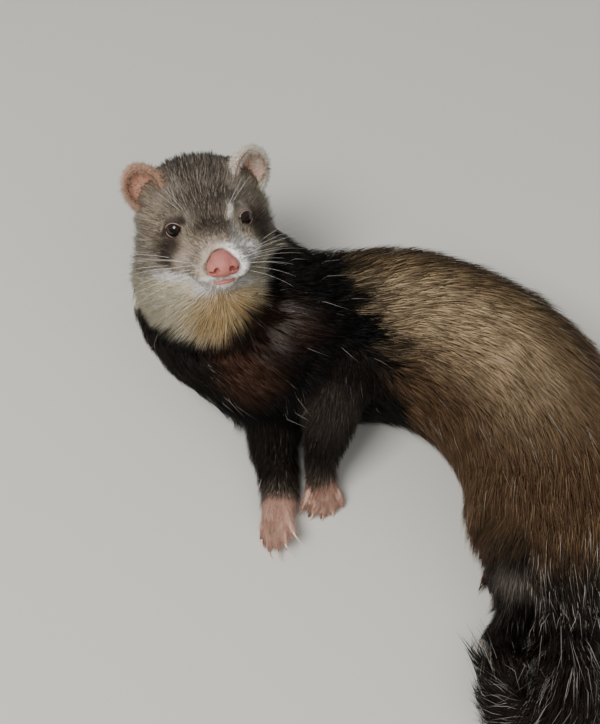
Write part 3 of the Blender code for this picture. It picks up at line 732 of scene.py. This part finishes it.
def add_colours(mesh, colours):
    """Store a colour for each corner of the mesh under the name that the materials read."""
    attribute = mesh.color_attributes.new("coat", "FLOAT_COLOR", "POINT")
    rows = np.ones((len(colours), 4), dtype=np.float32)
    rows[:, :3] = colours
    attribute.data.foreach_set("color", rows.ravel())


def coat_material(name, roughness, bump):
    """Hair or short fur whose colour comes from the coat attribute."""
    material, tree, shader = new_material(name, Roughness=roughness, Specular_IOR_Level=0.18)
    colour = add_node(tree, "ShaderNodeAttribute", attribute_name="coat")
    where = add_node(tree, "ShaderNodeTexCoord")
    fine = {"Vector": where.outputs["Object"], "Scale": 1400.0, "Detail": 2.0}
    noise = add_node(tree, "ShaderNodeTexNoise", fine)
    streaks = {"Value": noise.outputs["Fac"], "To Min": 0.78, "To Max": 1.22}
    both = {0: colour.outputs["Color"], 1: add_node(tree, "ShaderNodeMapRange", streaks).outputs["Result"]}
    mixed = add_node(tree, "ShaderNodeVectorMath", both, operation="MULTIPLY")
    tree.links.new(mixed.outputs["Vector"], shader.inputs["Base Color"])
    if bump:
        rough = {"Height": noise.outputs["Fac"], "Strength": bump, "Distance": 0.0003}
        lift = add_node(tree, "ShaderNodeBump", rough)
        tree.links.new(lift.outputs["Normal"], shader.inputs["Normal"])
    return material


# Woolly underfur, flat and matt.
underfur = coat_material("short_underfur", 0.85, 0.5)
# Guard hairs with a soft shine.
guard_hair = coat_material("guard_hair", 0.5, 0.0)

skin_mesh.materials.clear()
skin_mesh.materials.append(underfur)
# Painted shade between the hairs darkens the skin, less on the paws and beside the nose pad, where the hair is
# thinnest.
beside_pad = 1 - ramp(np.linalg.norm(in_head(places) - np.array(NOSE_MIDDLE), axis=1), 8.0, 17.0)
beside_pad *= 0.45 + 0.55 * ramp(in_head(places)[:, 1], -4.0, 5.0)
painted_skin_shade = 0.30 + 0.45 * beside_pad * coat[:, 3:6].mean(axis=1) + 0.10 * labelled(*PAWS)
add_colours(skin_mesh, (coat[:, 0:3] + coat[:, 3:6]) * painted_skin_shade[:, None])
uv_layer = skin_mesh.uv_layers.new(name="OFBake")
uv_layer.data.foreach_set("uv", skin_uv.astype(np.float32).ravel())
skin_mesh.shade_smooth()
skin = add_object("skin", skin_mesh)
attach(skin, "root")
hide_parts(*FLESH, *BRUSH)
print("skin done")

# %% [markdown]
# ## The coat
# Hairs stick together in small pointed tufts. Each tuft here is a thin closed blade with three sides that
# leaves the skin at an angle, bends back along the lie and ends at the depth of the coat. On the head, legs
# and paws the hair is short, so its tufts are straight spikes. Neighbours lean towards a shared point, as
# real clumps do. Most carry the marking's tip colour, some are closer to the underfur, and a few are long
# silver guard hairs.

# %% Grow the coat
SHORT_TUFTS, LONG_TUFTS = ((66000, 116000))
PIECE_FACES = 190000
SINK = 0.35
PATCH = 0.003
# Silver hairs lie over the first limit of an even draw and woolly ones under the second. Then how much longer
# and shorter they are.
SILVER_FROM, WOOLLY_TO = 0.992, 0.18
SILVER_LONGER, WOOLLY_SHORTER = 1.35, 0.7
# Each clump has about this many tufts, whose tips lean by this share at most to their leader's tip.
CLUMP, LEAN = 9, 0.42
# The lowest roots, middles and tips of the hair, in metres.
LOWEST_ROOT, LOWEST_MIDDLE, LOWEST_TIP = 0.0003, 0.0005, 0.0002


def coat_shape():
    """Density, hair length, reach of the tips and width at each corner, lengths in millimetres."""
    local = in_head(places)
    on_head = labelled("head")
    back = ramp(-local[:, 0], -12.0, 18.0)
    throat = ramp(-local[:, 2], 17.0, 25.0)
    cheek = ramp(np.abs(local[:, 1]), 14.0, 21.0) * ramp(-local[:, 0], -4.0, 6.0)
    crown = ramp(local[:, 2], 6.0, 14.0)
    # Density, length of the hair, height of its tips and width of the tufts.
    shapes = {
        "forepaw": (5.0, 5.6, 1.2, 0.15),
        "hindpaw": (3.5, 5.0, 1.2, 0.20),
        "foreleg": (1.7, 6.5, 2.8, 0.40),
        "hindleg": (1.7, 10.0, 4.2, 0.40),
        "neck": (1.3, 13.0, 5.5, 0.40),
        "tail": (1.0, 20.0, 9.0, 0.42),
    }
    dense, long, high, wide = of_labels(shapes, (1.0, 18.0, 7.2, 0.42)).T
    dense = np.where(on_head, 4.6 - 2.0 * np.maximum(back, throat), dense)
    long = np.where(on_head, np.maximum(3.0 + 4.2 * back + 4.6 * cheek, 10.5 * throat), long)
    high = np.where(on_head, np.maximum(0.85 + 2.2 * back + 2.4 * cheek + 1.4 * crown, 3.4 * throat), high)
    wide = np.where(on_head, 0.20 + 0.13 * np.maximum(back, throat), wide)
    high = high + 1.8 * ramp(towards_back(), 0.45, 0.9) * labelled(*TORSO)
    under = (normals[:, 2] < -0.5) & (places[:, 2] < 0.006)
    dense = np.where(under, 0.15, dense)
    columns = spread(np.stack((dense, long, high, wide), axis=1), edges, 10)
    for node in EARS:
        near_ear = 1 - ramp(distance(places, middle(node)), 11.0, 17.0)
        columns[:, 0] += 1.5 * near_ear
        columns[:, 1] += (4.5 - columns[:, 1]) * near_ear
        columns[:, 2] += (2.2 - columns[:, 2]) * near_ear
    for node in EYES:
        far = distance(places, middle(node))
        near_eye = ramp(far, 4.7, 8.0)
        columns[:, 0] *= np.where(far < 4.75, 0.0, 1.0)
        columns[:, 1] *= 0.30 + 0.70 * near_eye
        columns[:, 2] *= 0.15 + 0.85 * near_eye
        columns[:, 3] *= 0.65 + 0.35 * near_eye
    bare = np.linalg.norm(local - np.array(NOSE_MIDDLE), axis=1)
    columns[:, 0] *= ramp(bare, 4.1, 5.0)
    return columns


def corner_shares(draw, count):
    """The shares of a triangle's three corners at this many places, spread evenly over it."""
    first, second = draw.random(count), draw.random(count)
    flip = first + second > 1
    first, second = np.where(flip, 1 - first, first), np.where(flip, 1 - second, second)
    return np.stack((1 - first - second, first, second), axis=1)


def sampled(columns, allowed, draw, count):
    """Faces and shares of their corners for this many roots, spread by area and density where allowed."""
    a, b, c = (places[triangles[:, k]] for k in range(3))
    area = np.linalg.norm(np.cross(b - a, c - a), axis=1)
    weight = area * columns[triangles, 0].mean(axis=1) * allowed[labels[triangles[:, 0]]]
    faces = np.sort(draw.choice(len(triangles), count, p=weight / weight.sum()))
    return faces, corner_shares(draw, count)


def at_roots(values, faces, shares):
    """Values of the skin's corners at the roots."""
    return np.einsum("ik,ikj->ij", shares, values[triangles[faces]])


def laid(points, tree, height):
    """The points moved to these heights over the skin, in metres."""
    found = np.empty_like(points)
    for index, point in enumerate(points):
        near, normal, _, _ = tree.find_nearest(Vector(point))
        found[index] = near + normal * height[index]
    return found


def clumped(roots, tips, draw):
    """Tips drawn towards the tip of the nearest leader."""
    leaders = np.sort(draw.choice(len(roots), len(roots) // CLUMP, replace=False))
    tree = KDTree(len(leaders))
    for index in leaders:
        tree.insert(roots[index], index)
    tree.balance()
    chosen = np.array([tree.find(root)[1] for root in roots])
    offset = (tips[chosen] - roots[chosen]) - (tips - roots)
    lean = (roots[chosen] - roots) + offset
    return tips + lean * (LEAN * draw.uniform(0.4, 1.0, len(roots)))[:, None]


# The triangles of the two kinds of tuft, and where their corners lie on the unwrap's patch.
BLADE = (
    (0, 1, 2), (0, 3, 4), (0, 4, 1), (1, 4, 5), (1, 5, 2),
    (2, 5, 3), (2, 3, 0), (3, 6, 4), (4, 6, 5), (5, 6, 3),
)
SPIKE = ((0, 1, 2), (0, 3, 1), (1, 3, 2), (2, 3, 0))
BLADE_PATCH = ((-1, -1), (1, -1), (0, -1), (-0.8, 0), (0.8, 0), (0, 0), (0, 1))
SPIKE_PATCH = ((-1, -1), (1, -1), (0, -1), (0, 1))


def ring(centre, across, out, wide):
    """The three corners of a hair's section."""
    return [centre + across * wide, centre - across * wide, centre + out * wide]


def tuft_piece(name, shape, uv):
    """One piece of closed hairs: blades bend at their middle, and spikes have no middle."""
    roots, mids, tips, across, out, low, mid, high = shape
    corners, tints = ring(roots, across, out, 1.0), [low] * 3
    pattern, patch = SPIKE, SPIKE_PATCH
    if mids is not None:
        corners += ring(mids, across, out, 0.85)
        tints += [mid] * 3
        pattern, patch = BLADE, BLADE_PATCH
    corners, tints = np.stack((*corners, tips), axis=1), np.stack((*tints, high), axis=1)
    count, size = corners.shape[:2]
    faces = (np.array(pattern)[None] + size * np.arange(count)[:, None, None]).reshape(-1, 3)
    mesh = bpy.data.meshes.new(name)
    mesh.vertices.add(size * count)
    mesh.vertices.foreach_set("co", corners.astype(np.float32).ravel())
    mesh.loops.add(faces.size)
    mesh.loops.foreach_set("vertex_index", faces.astype(np.int32).ravel())
    mesh.polygons.add(len(faces))
    mesh.polygons.foreach_set("loop_start", np.arange(0, faces.size, 3, dtype=np.int32))
    mesh.update(calc_edges=True)
    add_colours(mesh, tints.reshape(-1, 3))
    spots = (uv[:, None, :] + np.array(patch)[None] * PATCH / 2).reshape(-1, 2)
    layer = mesh.uv_layers.new(name="OFBake")
    layer.data.foreach_set("uv", spots[faces.ravel()].astype(np.float32).ravel())
    mesh.shade_smooth()
    mesh.materials.append(guard_hair)
    piece = add_object(name, mesh)
    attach(piece, "root")
    return len(faces)


def tuft_colours(faces, shares, draw, woolly, silver):
    """Colours of the tufts at their roots, middles and tips."""
    on_paw, on_head = (labelled(*names)[triangles[faces, 0]] for names in (PAWS, ["head"]))
    paints = at_roots(coat, faces, shares)
    count = len(paints)
    under = paints[:, 0:3]
    tip = np.where((draw.random(count) < paints[:, 9])[:, None], paints[:, 6:9], paints[:, 3:6])
    tip = np.where(woolly[:, None], under + (tip - under) * 0.35, tip)
    tip = np.where((silver & (tip.mean(axis=1) < 0.12) & ~on_paw)[:, None], np.array(SILVER), tip)
    shade = draw.uniform(0.68, 1.32, count)[:, None]
    middle_colour = under + (tip - under) * draw.uniform(0.55, 1.0, count)[:, None]
    # Painted shade between the hairs darkens the roots, less on pale parts of the head and on the paws.
    deep = np.where(on_head, 0.60 + 0.35 * under.mean(axis=1), np.where(on_paw, 0.85, 0.55))[:, None]
    return under * deep * shade, np.clip(middle_colour * shade, 0, 1), np.clip(tip * shade, 0, 1)


def grown_coat(count, allowed, bent, seed):
    """Work out every tuft's places and colours, for the labels that are allowed."""
    draw = np.random.default_rng(seed)
    faces, shares = sampled(columns, allowed, draw, count)
    root_label = labels[triangles[faces, 0]]
    roots = at_roots(places, faces, shares)
    out = unit(at_roots(normals, faces, shares))
    way = unit(at_roots(lie, faces, shares))
    size = at_roots(columns, faces, shares)
    side = np.cross(out, way)
    drift = 0.16 * waves(roots, 9.0, 21) + 0.09 * waves(roots, 3.5, 22) + draw.normal(0, 0.12, count)
    way = unit(way + side * drift[:, None])
    kind = draw.random(count)
    rear = np.clip((-75.0 - (roots - np.array(home))[:, 1] / MM) / 15.0, 0.0, 1.0)
    silver, woolly = kind > SILVER_FROM - 0.07 * rear, kind < WOOLLY_TO
    vary = draw.uniform(0.78, 1.12, count) * (1 + 0.10 * waves(roots, 6.0, 23))
    length = size[:, 1] * vary * np.where(silver, SILVER_LONGER, np.where(woolly, WOOLLY_SHORTER, 1.0)) * MM
    height = size[:, 2] * draw.uniform(0.55, 1.2, count) * (1 + 0.12 * waves(roots, 5.0, 24)) * MM
    height *= np.where(silver, 1.2, np.where(woolly, 0.72, 1.0))
    height = np.minimum(height, 0.9 * length)
    run = np.sqrt(np.maximum(length**2 - height**2, (0.3 * length) ** 2))
    tips = laid(roots + way * run[:, None] + out * height[:, None] * 0.6, skin_tree, height)
    tips = clumped(roots, tips, draw)
    mids = laid(roots + (tips - roots) * 0.45, skin_tree, height * 0.72) if bent else None
    roots = roots - out * (SINK * MM)
    roots[:, 2] = np.maximum(roots[:, 2], LOWEST_ROOT)
    tips[:, 2] = np.maximum(tips[:, 2], LOWEST_TIP)
    side = unit(np.cross(out, unit(tips - roots)))
    wide = size[:, 3] * draw.uniform(0.75, 1.2, count) * np.where(silver, 0.5, 1.0) * MM
    tints = tuft_colours(faces, shares, draw, woolly, silver)
    if bent:
        mids[:, 2] = np.maximum(mids[:, 2], LOWEST_MIDDLE)
    shape = [roots, mids, tips, side * wide[:, None] / 2, out * wide[:, None] * 0.35, *tints]
    return shape, np.einsum("ik,ikj->ij", shares, skin_uv[faces]), root_label


SHORT = ["head", *LEGS, *PAWS]
columns = coat_shape()
skin_tree = BVHTree.FromPolygons([Vector(place) for place in places], triangles.tolist())
made = 0
for bent, count, seed in ((False, SHORT_TUFTS, 11), (True, LONG_TUFTS, 12)):
    allowed = np.array([(name in SHORT) != bent for name in LABELS]).astype(float)
    shape, root_uv, root_label = grown_coat(count, allowed, bent, seed)
    step = PIECE_FACES // (10 if bent else 4)
    for number, name in enumerate(LABELS):
        chosen = np.flatnonzero(root_label == number) if allowed[number] else np.array([], dtype=int)
        for part, start in enumerate(range(0, len(chosen), step)):
            rows = chosen[start : start + step]
            cut = [None if column is None else column[rows] for column in shape]
            made += tuft_piece(f"coat_{name}_{part + 1}", cut, root_uv[rows])
print("coat of", made, "triangles")

# %% [markdown]
# ## Eyes and lids
# A ferret's eye is a glossy dark bead: the brown iris hardly shows, and the lids meet it in a thin, pale pink
# edge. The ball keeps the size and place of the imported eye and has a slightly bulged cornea.

# %% Eyes
EYE_GAZE = (0.84, 0.48, 0.14)
EYE_RADIUS = 4.2
LID_OPENING = (3.75, 2.85)
LID_RADIUS = 0.24
LID_STEPS = 48


def eye_frame(node, side):
    """The place of an eye, with x along its gaze."""
    gaze = frame_of((EYE_GAZE[0], EYE_GAZE[1] * side, EYE_GAZE[2]), (0.0, 0.0, 1.0))
    return Matrix.Translation(middle(node)) @ (head.to_3x3().to_4x4() @ gaze)


def finished(piece, slot, material, *nodes):
    """Give a piece its material, smooth shading and body, and hide the nodes it stands for; the slot is not
    used.
    """
    piece.data.materials.clear()
    piece.data.materials.append(material)
    piece.data.shade_smooth()
    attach(piece, "root")
    if nodes:
        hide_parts(*nodes)
    return piece


# Wet, glossy cornea over a black-brown iris.
wet = {"Roughness": 0.04, "Specular_IOR_Level": 0.3, "Coat_Weight": 0.25}
eye_wet, eye_tree, eye_shader = new_material("wet_eye", **wet)
iris = add_node(eye_tree, "ShaderNodeAttribute", attribute_name="coat")
eye_tree.links.new(iris.outputs["Color"], eye_shader.inputs["Base Color"])


def build_eye(node, side):
    """A ball with a bulged cornea, a dark iris and a darker, level pupil."""
    place = eye_frame(node, side)
    bm = bmesh.new()
    bmesh.ops.create_icosphere(bm, subdivisions=5, radius=EYE_RADIUS * MM)
    tints = []
    for vert in bm.verts:
        spot = vert.co / MM
        off = math.hypot(spot.y, spot.z) if spot.x > 0 else 9.0
        vert.co *= 1.0 + 0.05 * max(0.0, 1.0 - (off / 3.2) ** 2)
        pupil = math.hypot(spot.y / 1.5, spot.z / 0.8) if spot.x > 0 else 9.0
        tints.append(linear("#060403") if pupil < 1 or off > 3.6 else linear("#24140c"))
    bmesh.ops.transform(bm, matrix=place, verts=bm.verts)
    mesh = mesh_of(bm, node)
    add_colours(mesh, np.array(tints))
    return finished(add_object(f"{node}_ball", mesh), "eye", eye_wet, node)


def tube(name, line, sizes, sides=8, closed=False):
    """A round tube along a line, with a size at each point, closed at its ends or into a ring."""
    bm = bmesh.new()
    rings = []
    count = len(line)
    for index, (point, size) in enumerate(zip(line, sizes)):
        before = line[index - 1] if index or closed else point
        after = line[(index + 1) % count] if index < count - 1 or closed else point
        turn = (after - before).to_track_quat("X", "Z").to_matrix()
        angles = [math.tau * k / sides for k in range(sides)]
        ring = [point + turn @ Vector((0, math.cos(a), math.sin(a))) * size for a in angles]
        rings.append([bm.verts.new(corner) for corner in ring])
    pairs = list(zip(rings, rings[1:])) + ([(rings[-1], rings[0])] if closed else [])
    for near, far in pairs:
        for k in range(sides):
            bm.faces.new((near[k - 1], near[k], far[k], far[k - 1]))
    if not closed:
        bm.faces.new(rings[0])
        bm.faces.new(rings[-1][::-1])
    bmesh.ops.recalc_face_normals(bm, faces=bm.faces)
    return add_object(name, mesh_of(bm, name))


# Thin, moist pink skin.
lid_skin = new_material("moist_pink_lid", "#8b746a", Roughness=0.4)[0]


def build_lid(node, side):
    """The pink edge of the lids, an almond that lies on the ball."""
    place = eye_frame(node, side)
    line = []
    for step in range(LID_STEPS):
        angle = math.tau * step / LID_STEPS
        y, z = LID_OPENING[0] * math.cos(angle), LID_OPENING[1] * math.sin(angle)
        z *= 1.0 - 0.22 * math.cos(angle) ** 2
        reach = math.sqrt((EYE_RADIUS + 0.22) ** 2 - y * y * 0.985 - z * z)
        line.append(place @ vector((reach, y, z)))
    lid = tube(f"{node}_lid", line, [LID_RADIUS * MM] * LID_STEPS, 8, True)
    return finished(lid, "nose_skin", lid_skin)


for side, node in zip((1, -1), EYES):
    build_eye(node, side)
    build_lid(node, side)
print("eyes and lids done")

# %% [markdown]
# ## Nose and lower lip
# The nose is bare, moist and finely pebbled, with comma-shaped nostrils. Below it a short rim of pink lip
# shows under the white upper lips.

# %% Nose
def bare_skin(name, code, roughness, pebble, bump):
    """Bare skin with a pebbled surface: pebbles of this many millimetres."""
    flesh = {"Roughness": roughness, "Subsurface_Weight": 0.12, "Subsurface_Scale": 0.002}
    material, tree, shader = new_material(name, **flesh)
    where = add_node(tree, "ShaderNodeTexCoord").outputs["Object"]
    cells = add_node(tree, "ShaderNodeTexVoronoi", {"Vector": where, "Scale": 1000.0 / pebble})
    blotch = add_node(tree, "ShaderNodeTexNoise", {"Vector": where, "Scale": 260.0})
    low, high = linear(code), tuple(min(1.0, c * 1.35 + 0.03) for c in linear(code))
    colour = add_node(tree, "ShaderNodeMix", {0: blotch.outputs["Fac"]}, data_type="RGBA")
    colour.inputs[6].default_value, colour.inputs[7].default_value = (*low, 1.0), (*high, 1.0)
    tree.links.new(colour.outputs[2], shader.inputs["Base Color"])
    raised = {"Height": cells.outputs["Distance"], "Strength": bump, "Distance": 0.0004}
    lift = add_node(tree, "ShaderNodeBump", raised, invert=True)
    tree.links.new(lift.outputs["Normal"], shader.inputs["Normal"])
    return material


def refined(node, name, levels):
    """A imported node's form with its triangles joined, subdivided and smoothed."""
    obj = add_object("step", mesh_of(loose_copy(node), name))
    finer = obj.modifiers.new("finer", "SUBSURF")
    finer.levels = finer.render_levels = levels
    return add_object(name, applied(obj))


NOSE_NARROWER = 0.93
LIP_RADIUS = 0.8
LIP = ((19.2, -4.0, -16.2), (20.6, -2.2, -15.9), (21.0, 0, -15.7), (20.6, 2.2, -15.9), (19.2, 4.0, -16.2))
# Bare, moist nose leather.
nose_leather = bare_skin("moist_nose_leather", "#ab665b", 0.42, 0.45, 0.5)
nose_pad = refined("nose", "nose_pad", 2)
nose_place = head @ Matrix.Translation(vector(NOSE_MIDDLE))
narrower = Matrix.Diagonal((1.0, NOSE_NARROWER, 1.0, 1.0))
nose_pad.data.transform(nose_place @ narrower @ nose_place.inverted())
finished(nose_pad, "nose_skin", nose_leather, "nose")
line = smooth_line([head @ vector(point) for point in LIP], 5)
sizes = [LIP_RADIUS * MM * (0.35 + 0.65 * math.sin(math.pi * k / (len(line) - 1))) for k in range(len(line))]
finished(tube("lower_lip", line, sizes, 10), "nose_skin", nose_leather)
print("nose and lip done")

# %% [markdown]
# ## Ears
# The ears are low, round cups of thin pink skin. Fine brown hair covers their backs, and paler hair their
# edges and, more thinly, the cup.

# %% Ears
EAR_SHARE = 0.88
EAR_HAIRS = 8000
# The way the left cup looks in the head's frame, and how far its thinly haired inside reaches in millimetres.
EAR_LOOK, CUP_REACH = (0.86, 0.40, 0.12), 6.4
# Thin ear skin with a warm glow.
ear_skin = bare_skin("thin_ear_skin", "#b57e69", 0.65, 0.9, 0.05)
for node in EARS:
    cup = refined(node, f"{node}_cup", 2)
    foot = skin_tree.find_nearest(middle(node))[0]
    cup.data.transform(Matrix.Translation(foot) @ Matrix.Scale(EAR_SHARE, 4) @ Matrix.Translation(-foot))
    finished(cup, "ear_skin", ear_skin, node)


def ear_hair(node, count, seed):
    """Short hair on an ear: pale on its rim and thin in its cup, and brown on its back."""
    draw = np.random.default_rng(seed)
    left = "left" in node
    mesh = bpy.data.objects[f"{node}_cup"].data
    ear_places, ear_triangles, _, _ = arrays_of(triangulated(mesh))
    a, b, c = (ear_places[ear_triangles[:, k]] for k in range(3))
    centre = np.array(middle(node))
    look = Vector((EAR_LOOK[0], EAR_LOOK[1] * (1 if left else -1), EAR_LOOK[2]))
    facing = np.array((head.to_3x3() @ look).normalized())
    area = np.cross(b - a, c - a)
    face_out = unit(area)
    inner = (face_out @ facing > 0.1) & (distance((a + b + c) / 3, centre) < CUP_REACH)
    weight = np.linalg.norm(area, axis=1) * np.where(inner, 0.25 if left else 0.10, 1.0)
    chosen = draw.choice(len(weight), count, p=weight / weight.sum())
    first, second, third = corner_shares(draw, count).T[:, :, None]
    roots = a[chosen] * first + b[chosen] * second + c[chosen] * third
    out = face_out[chosen]
    away = unit(roots - centre)
    way = unit(away - out * np.sum(away * out, axis=1)[:, None] + draw.normal(0, 0.15, (count, 3)))
    length = draw.uniform(1.6, 3.2, count)[:, None] * MM
    tips = roots + (way * 0.85 + out * 0.42) * length
    side = unit(np.cross(out, way)) * 0.11 * MM
    edge = np.maximum(ramp(distance(roots, centre), 5.8, 7.6), inner[chosen])[:, None]
    pale, brown = (np.array(linear(code)) for code in ("#eadfce" if left else "#cda88e", "#8f7862"))
    pale = (brown + (pale - brown) * edge) * draw.uniform(0.7, 1.15, count)[:, None]
    tints = (pale * 0.8, pale, np.minimum(pale * 1.2, 1.0))
    uv = (CELLS - 0.5) / CELLS + (in_head(roots)[:, :2] - in_head(centre[None])[:, :2]) / 400
    shape = (roots - out * 0.1 * MM, None, tips, side, out * 0.1 * MM, *tints)
    return tuft_piece(f"coat_{node}", shape, uv)


def triangulated(mesh):
    """A copy of a mesh as triangles."""
    bm = bmesh.new()
    bm.from_mesh(mesh)
    bmesh.ops.triangulate(bm, faces=bm.faces)
    return mesh_of(bm, "step")


for seed, node in zip((31, 32), EARS):
    ear_hair(node, EAR_HAIRS, seed)
print("ears done")

# %% [markdown]
# ## Whiskers and claws
# Both taper evenly from a round root to a fine point, so one geometry node tree makes both from plain lines:
# each line becomes a curve, takes a tapering radius and is swept by a small circle.

# %% Whiskers and claws
def taper_tree():
    """A node tree that sweeps lines into tapering rods."""
    tree = bpy.data.node_groups.new("tapered_rods", "GeometryNodeTree")
    tree.interface.new_socket("Geometry", in_out="INPUT", socket_type="NodeSocketGeometry")
    root = tree.interface.new_socket("Root radius", in_out="INPUT", socket_type="NodeSocketFloat")
    tip = tree.interface.new_socket("Tip radius", in_out="INPUT", socket_type="NodeSocketFloat")
    finish = tree.interface.new_socket("Finish", in_out="INPUT", socket_type="NodeSocketMaterial")
    tree.interface.new_socket("Geometry", in_out="OUTPUT", socket_type="NodeSocketGeometry")
    start = add_node(tree, "NodeGroupInput")
    curve = add_node(tree, "GeometryNodeMeshToCurve", {"Mesh": start.outputs["Geometry"]})
    part = add_node(tree, "GeometryNodeSplineParameter")
    ends = {"To Min": start.outputs["Root radius"], "To Max": start.outputs["Tip radius"]}
    radius = add_node(tree, "ShaderNodeMapRange", {"Value": part.outputs["Factor"], **ends})
    values = {"Curve": curve.outputs["Curve"], "Radius": radius.outputs["Result"]}
    tapered = add_node(tree, "GeometryNodeSetCurveRadius", values)
    circle = add_node(tree, "GeometryNodeCurvePrimitiveCircle", {"Resolution": 6, "Radius": 1.0})
    values = {"Curve": tapered.outputs["Curve"], "Profile Curve": circle.outputs["Curve"], "Fill Caps": True}
    swept = add_node(tree, "GeometryNodeCurveToMesh", values)
    scale = swept.inputs.get("Scale")
    if scale is not None:
        tree.links.new(radius.outputs["Result"], scale)
    real = add_node(tree, "GeometryNodeRealizeInstances", {"Geometry": swept.outputs["Mesh"]})
    values = {"Geometry": real.outputs["Geometry"], "Material": start.outputs["Finish"]}
    painted_rods = add_node(tree, "GeometryNodeSetMaterial", values)
    add_node(tree, "NodeGroupOutput", {"Geometry": painted_rods.outputs["Geometry"]})
    return tree, root.identifier, tip.identifier, finish.identifier


rods, ROOT_KEY, TIP_KEY, FINISH_KEY = taper_tree()


def rod_piece(name, lines, radii, material, slot):
    """Sweep the lines into one piece of tapering rods."""
    points, links = [], []
    for line in lines:
        links += [(len(points) + k, len(points) + k + 1) for k in range(len(line) - 1)]
        points += line
    mesh = bpy.data.meshes.new(name)
    mesh.from_pydata(points, links, [])
    obj = add_object("step", mesh)
    modifier = obj.modifiers.new("rods", "NODES")
    modifier.node_group = rods
    modifier[ROOT_KEY], modifier[TIP_KEY] = radii
    modifier[FINISH_KEY] = material
    made = applied(obj)
    print(name, len(made.polygons), "faces")
    return finished(add_object(name, made), slot, material)


# Stiff, translucent white bristle.
bristle = new_material("white_bristle", "#f4efe6", Roughness=0.35)[0]
# Pale horn.
horn = new_material("pale_horn", "#d9c3ab", Roughness=0.3)[0]
# The radii of whiskers and claws at their roots and tips, and the lowest claw in metres.
WHISKER_RADII, CLAW_RADII = (0.055 * MM, 0.012 * MM), (0.55 * MM, 0.07 * MM)
LOWEST_CLAW = 0.0009


def bent_line(start, way, bend, reach):
    """A bent line on the head, from points in its frame."""
    return [head @ ((start + (way * t + bend * t * t * 0.5) * reach) * MM) for t in np.linspace(0, 1, 9)]


def whisker_lines():
    """Rows of long whiskers on both pads, and a few over each eye."""
    draw = np.random.default_rng(41)
    lines = []
    for side in (1, -1):
        for row in range(3):
            for step in range(4):
                start = Vector((17.5 - 2.2 * step, side * (7.2 + 1.6 * step), -9.0 - 2.2 * row))
                reach = 19.0 + 5.5 * step + draw.uniform(-2, 2)
                rise = -0.22 * row + 0.28 + draw.uniform(-0.08, 0.08)
                way = Vector((0.15 - 0.28 * step, side, rise)).normalized()
                bend = Vector((-0.5, 0.0, -0.55 - 0.08 * row))
                lines.append(bent_line(start, way, bend, reach))
        for step in range(2):
            start = Vector((-3.0 - 1.2 * step, side * (9.0 + 1.5 * step), 6.0))
            way = Vector((0.3, side * (0.5 + 0.2 * step), 1.0)).normalized()
            bend = Vector((-0.5, side * 0.2, -0.1))
            lines.append(bent_line(start, way, bend, 12))
    return lines


rod_piece("whiskers", whisker_lines(), WHISKER_RADII, bristle, "head_coat")


def claw_lines():
    """A short line that curves down from each toe's tip."""
    lines = []
    for _, place, length in paw_frames():
        for _, joint, tip in toe_lines(place, length):
            way = (tip - joint).normalized()
            up = (place.to_3x3() @ Vector((0.0, 0.0, 1.0))).normalized()
            start = tip + way * 0.9 * MM + up * 0.5 * MM
            parts = np.linspace(0, 1, 7)
            lines.append([start + (way * 4.4 * t + up * (0.5 * t - 2.2 * t * t)) * MM for t in parts])
    return [[Vector((p.x, p.y, max(p.z, LOWEST_CLAW))) for p in line] for line in lines]


rod_piece("claws", claw_lines(), CLAW_RADII, horn, "paw")
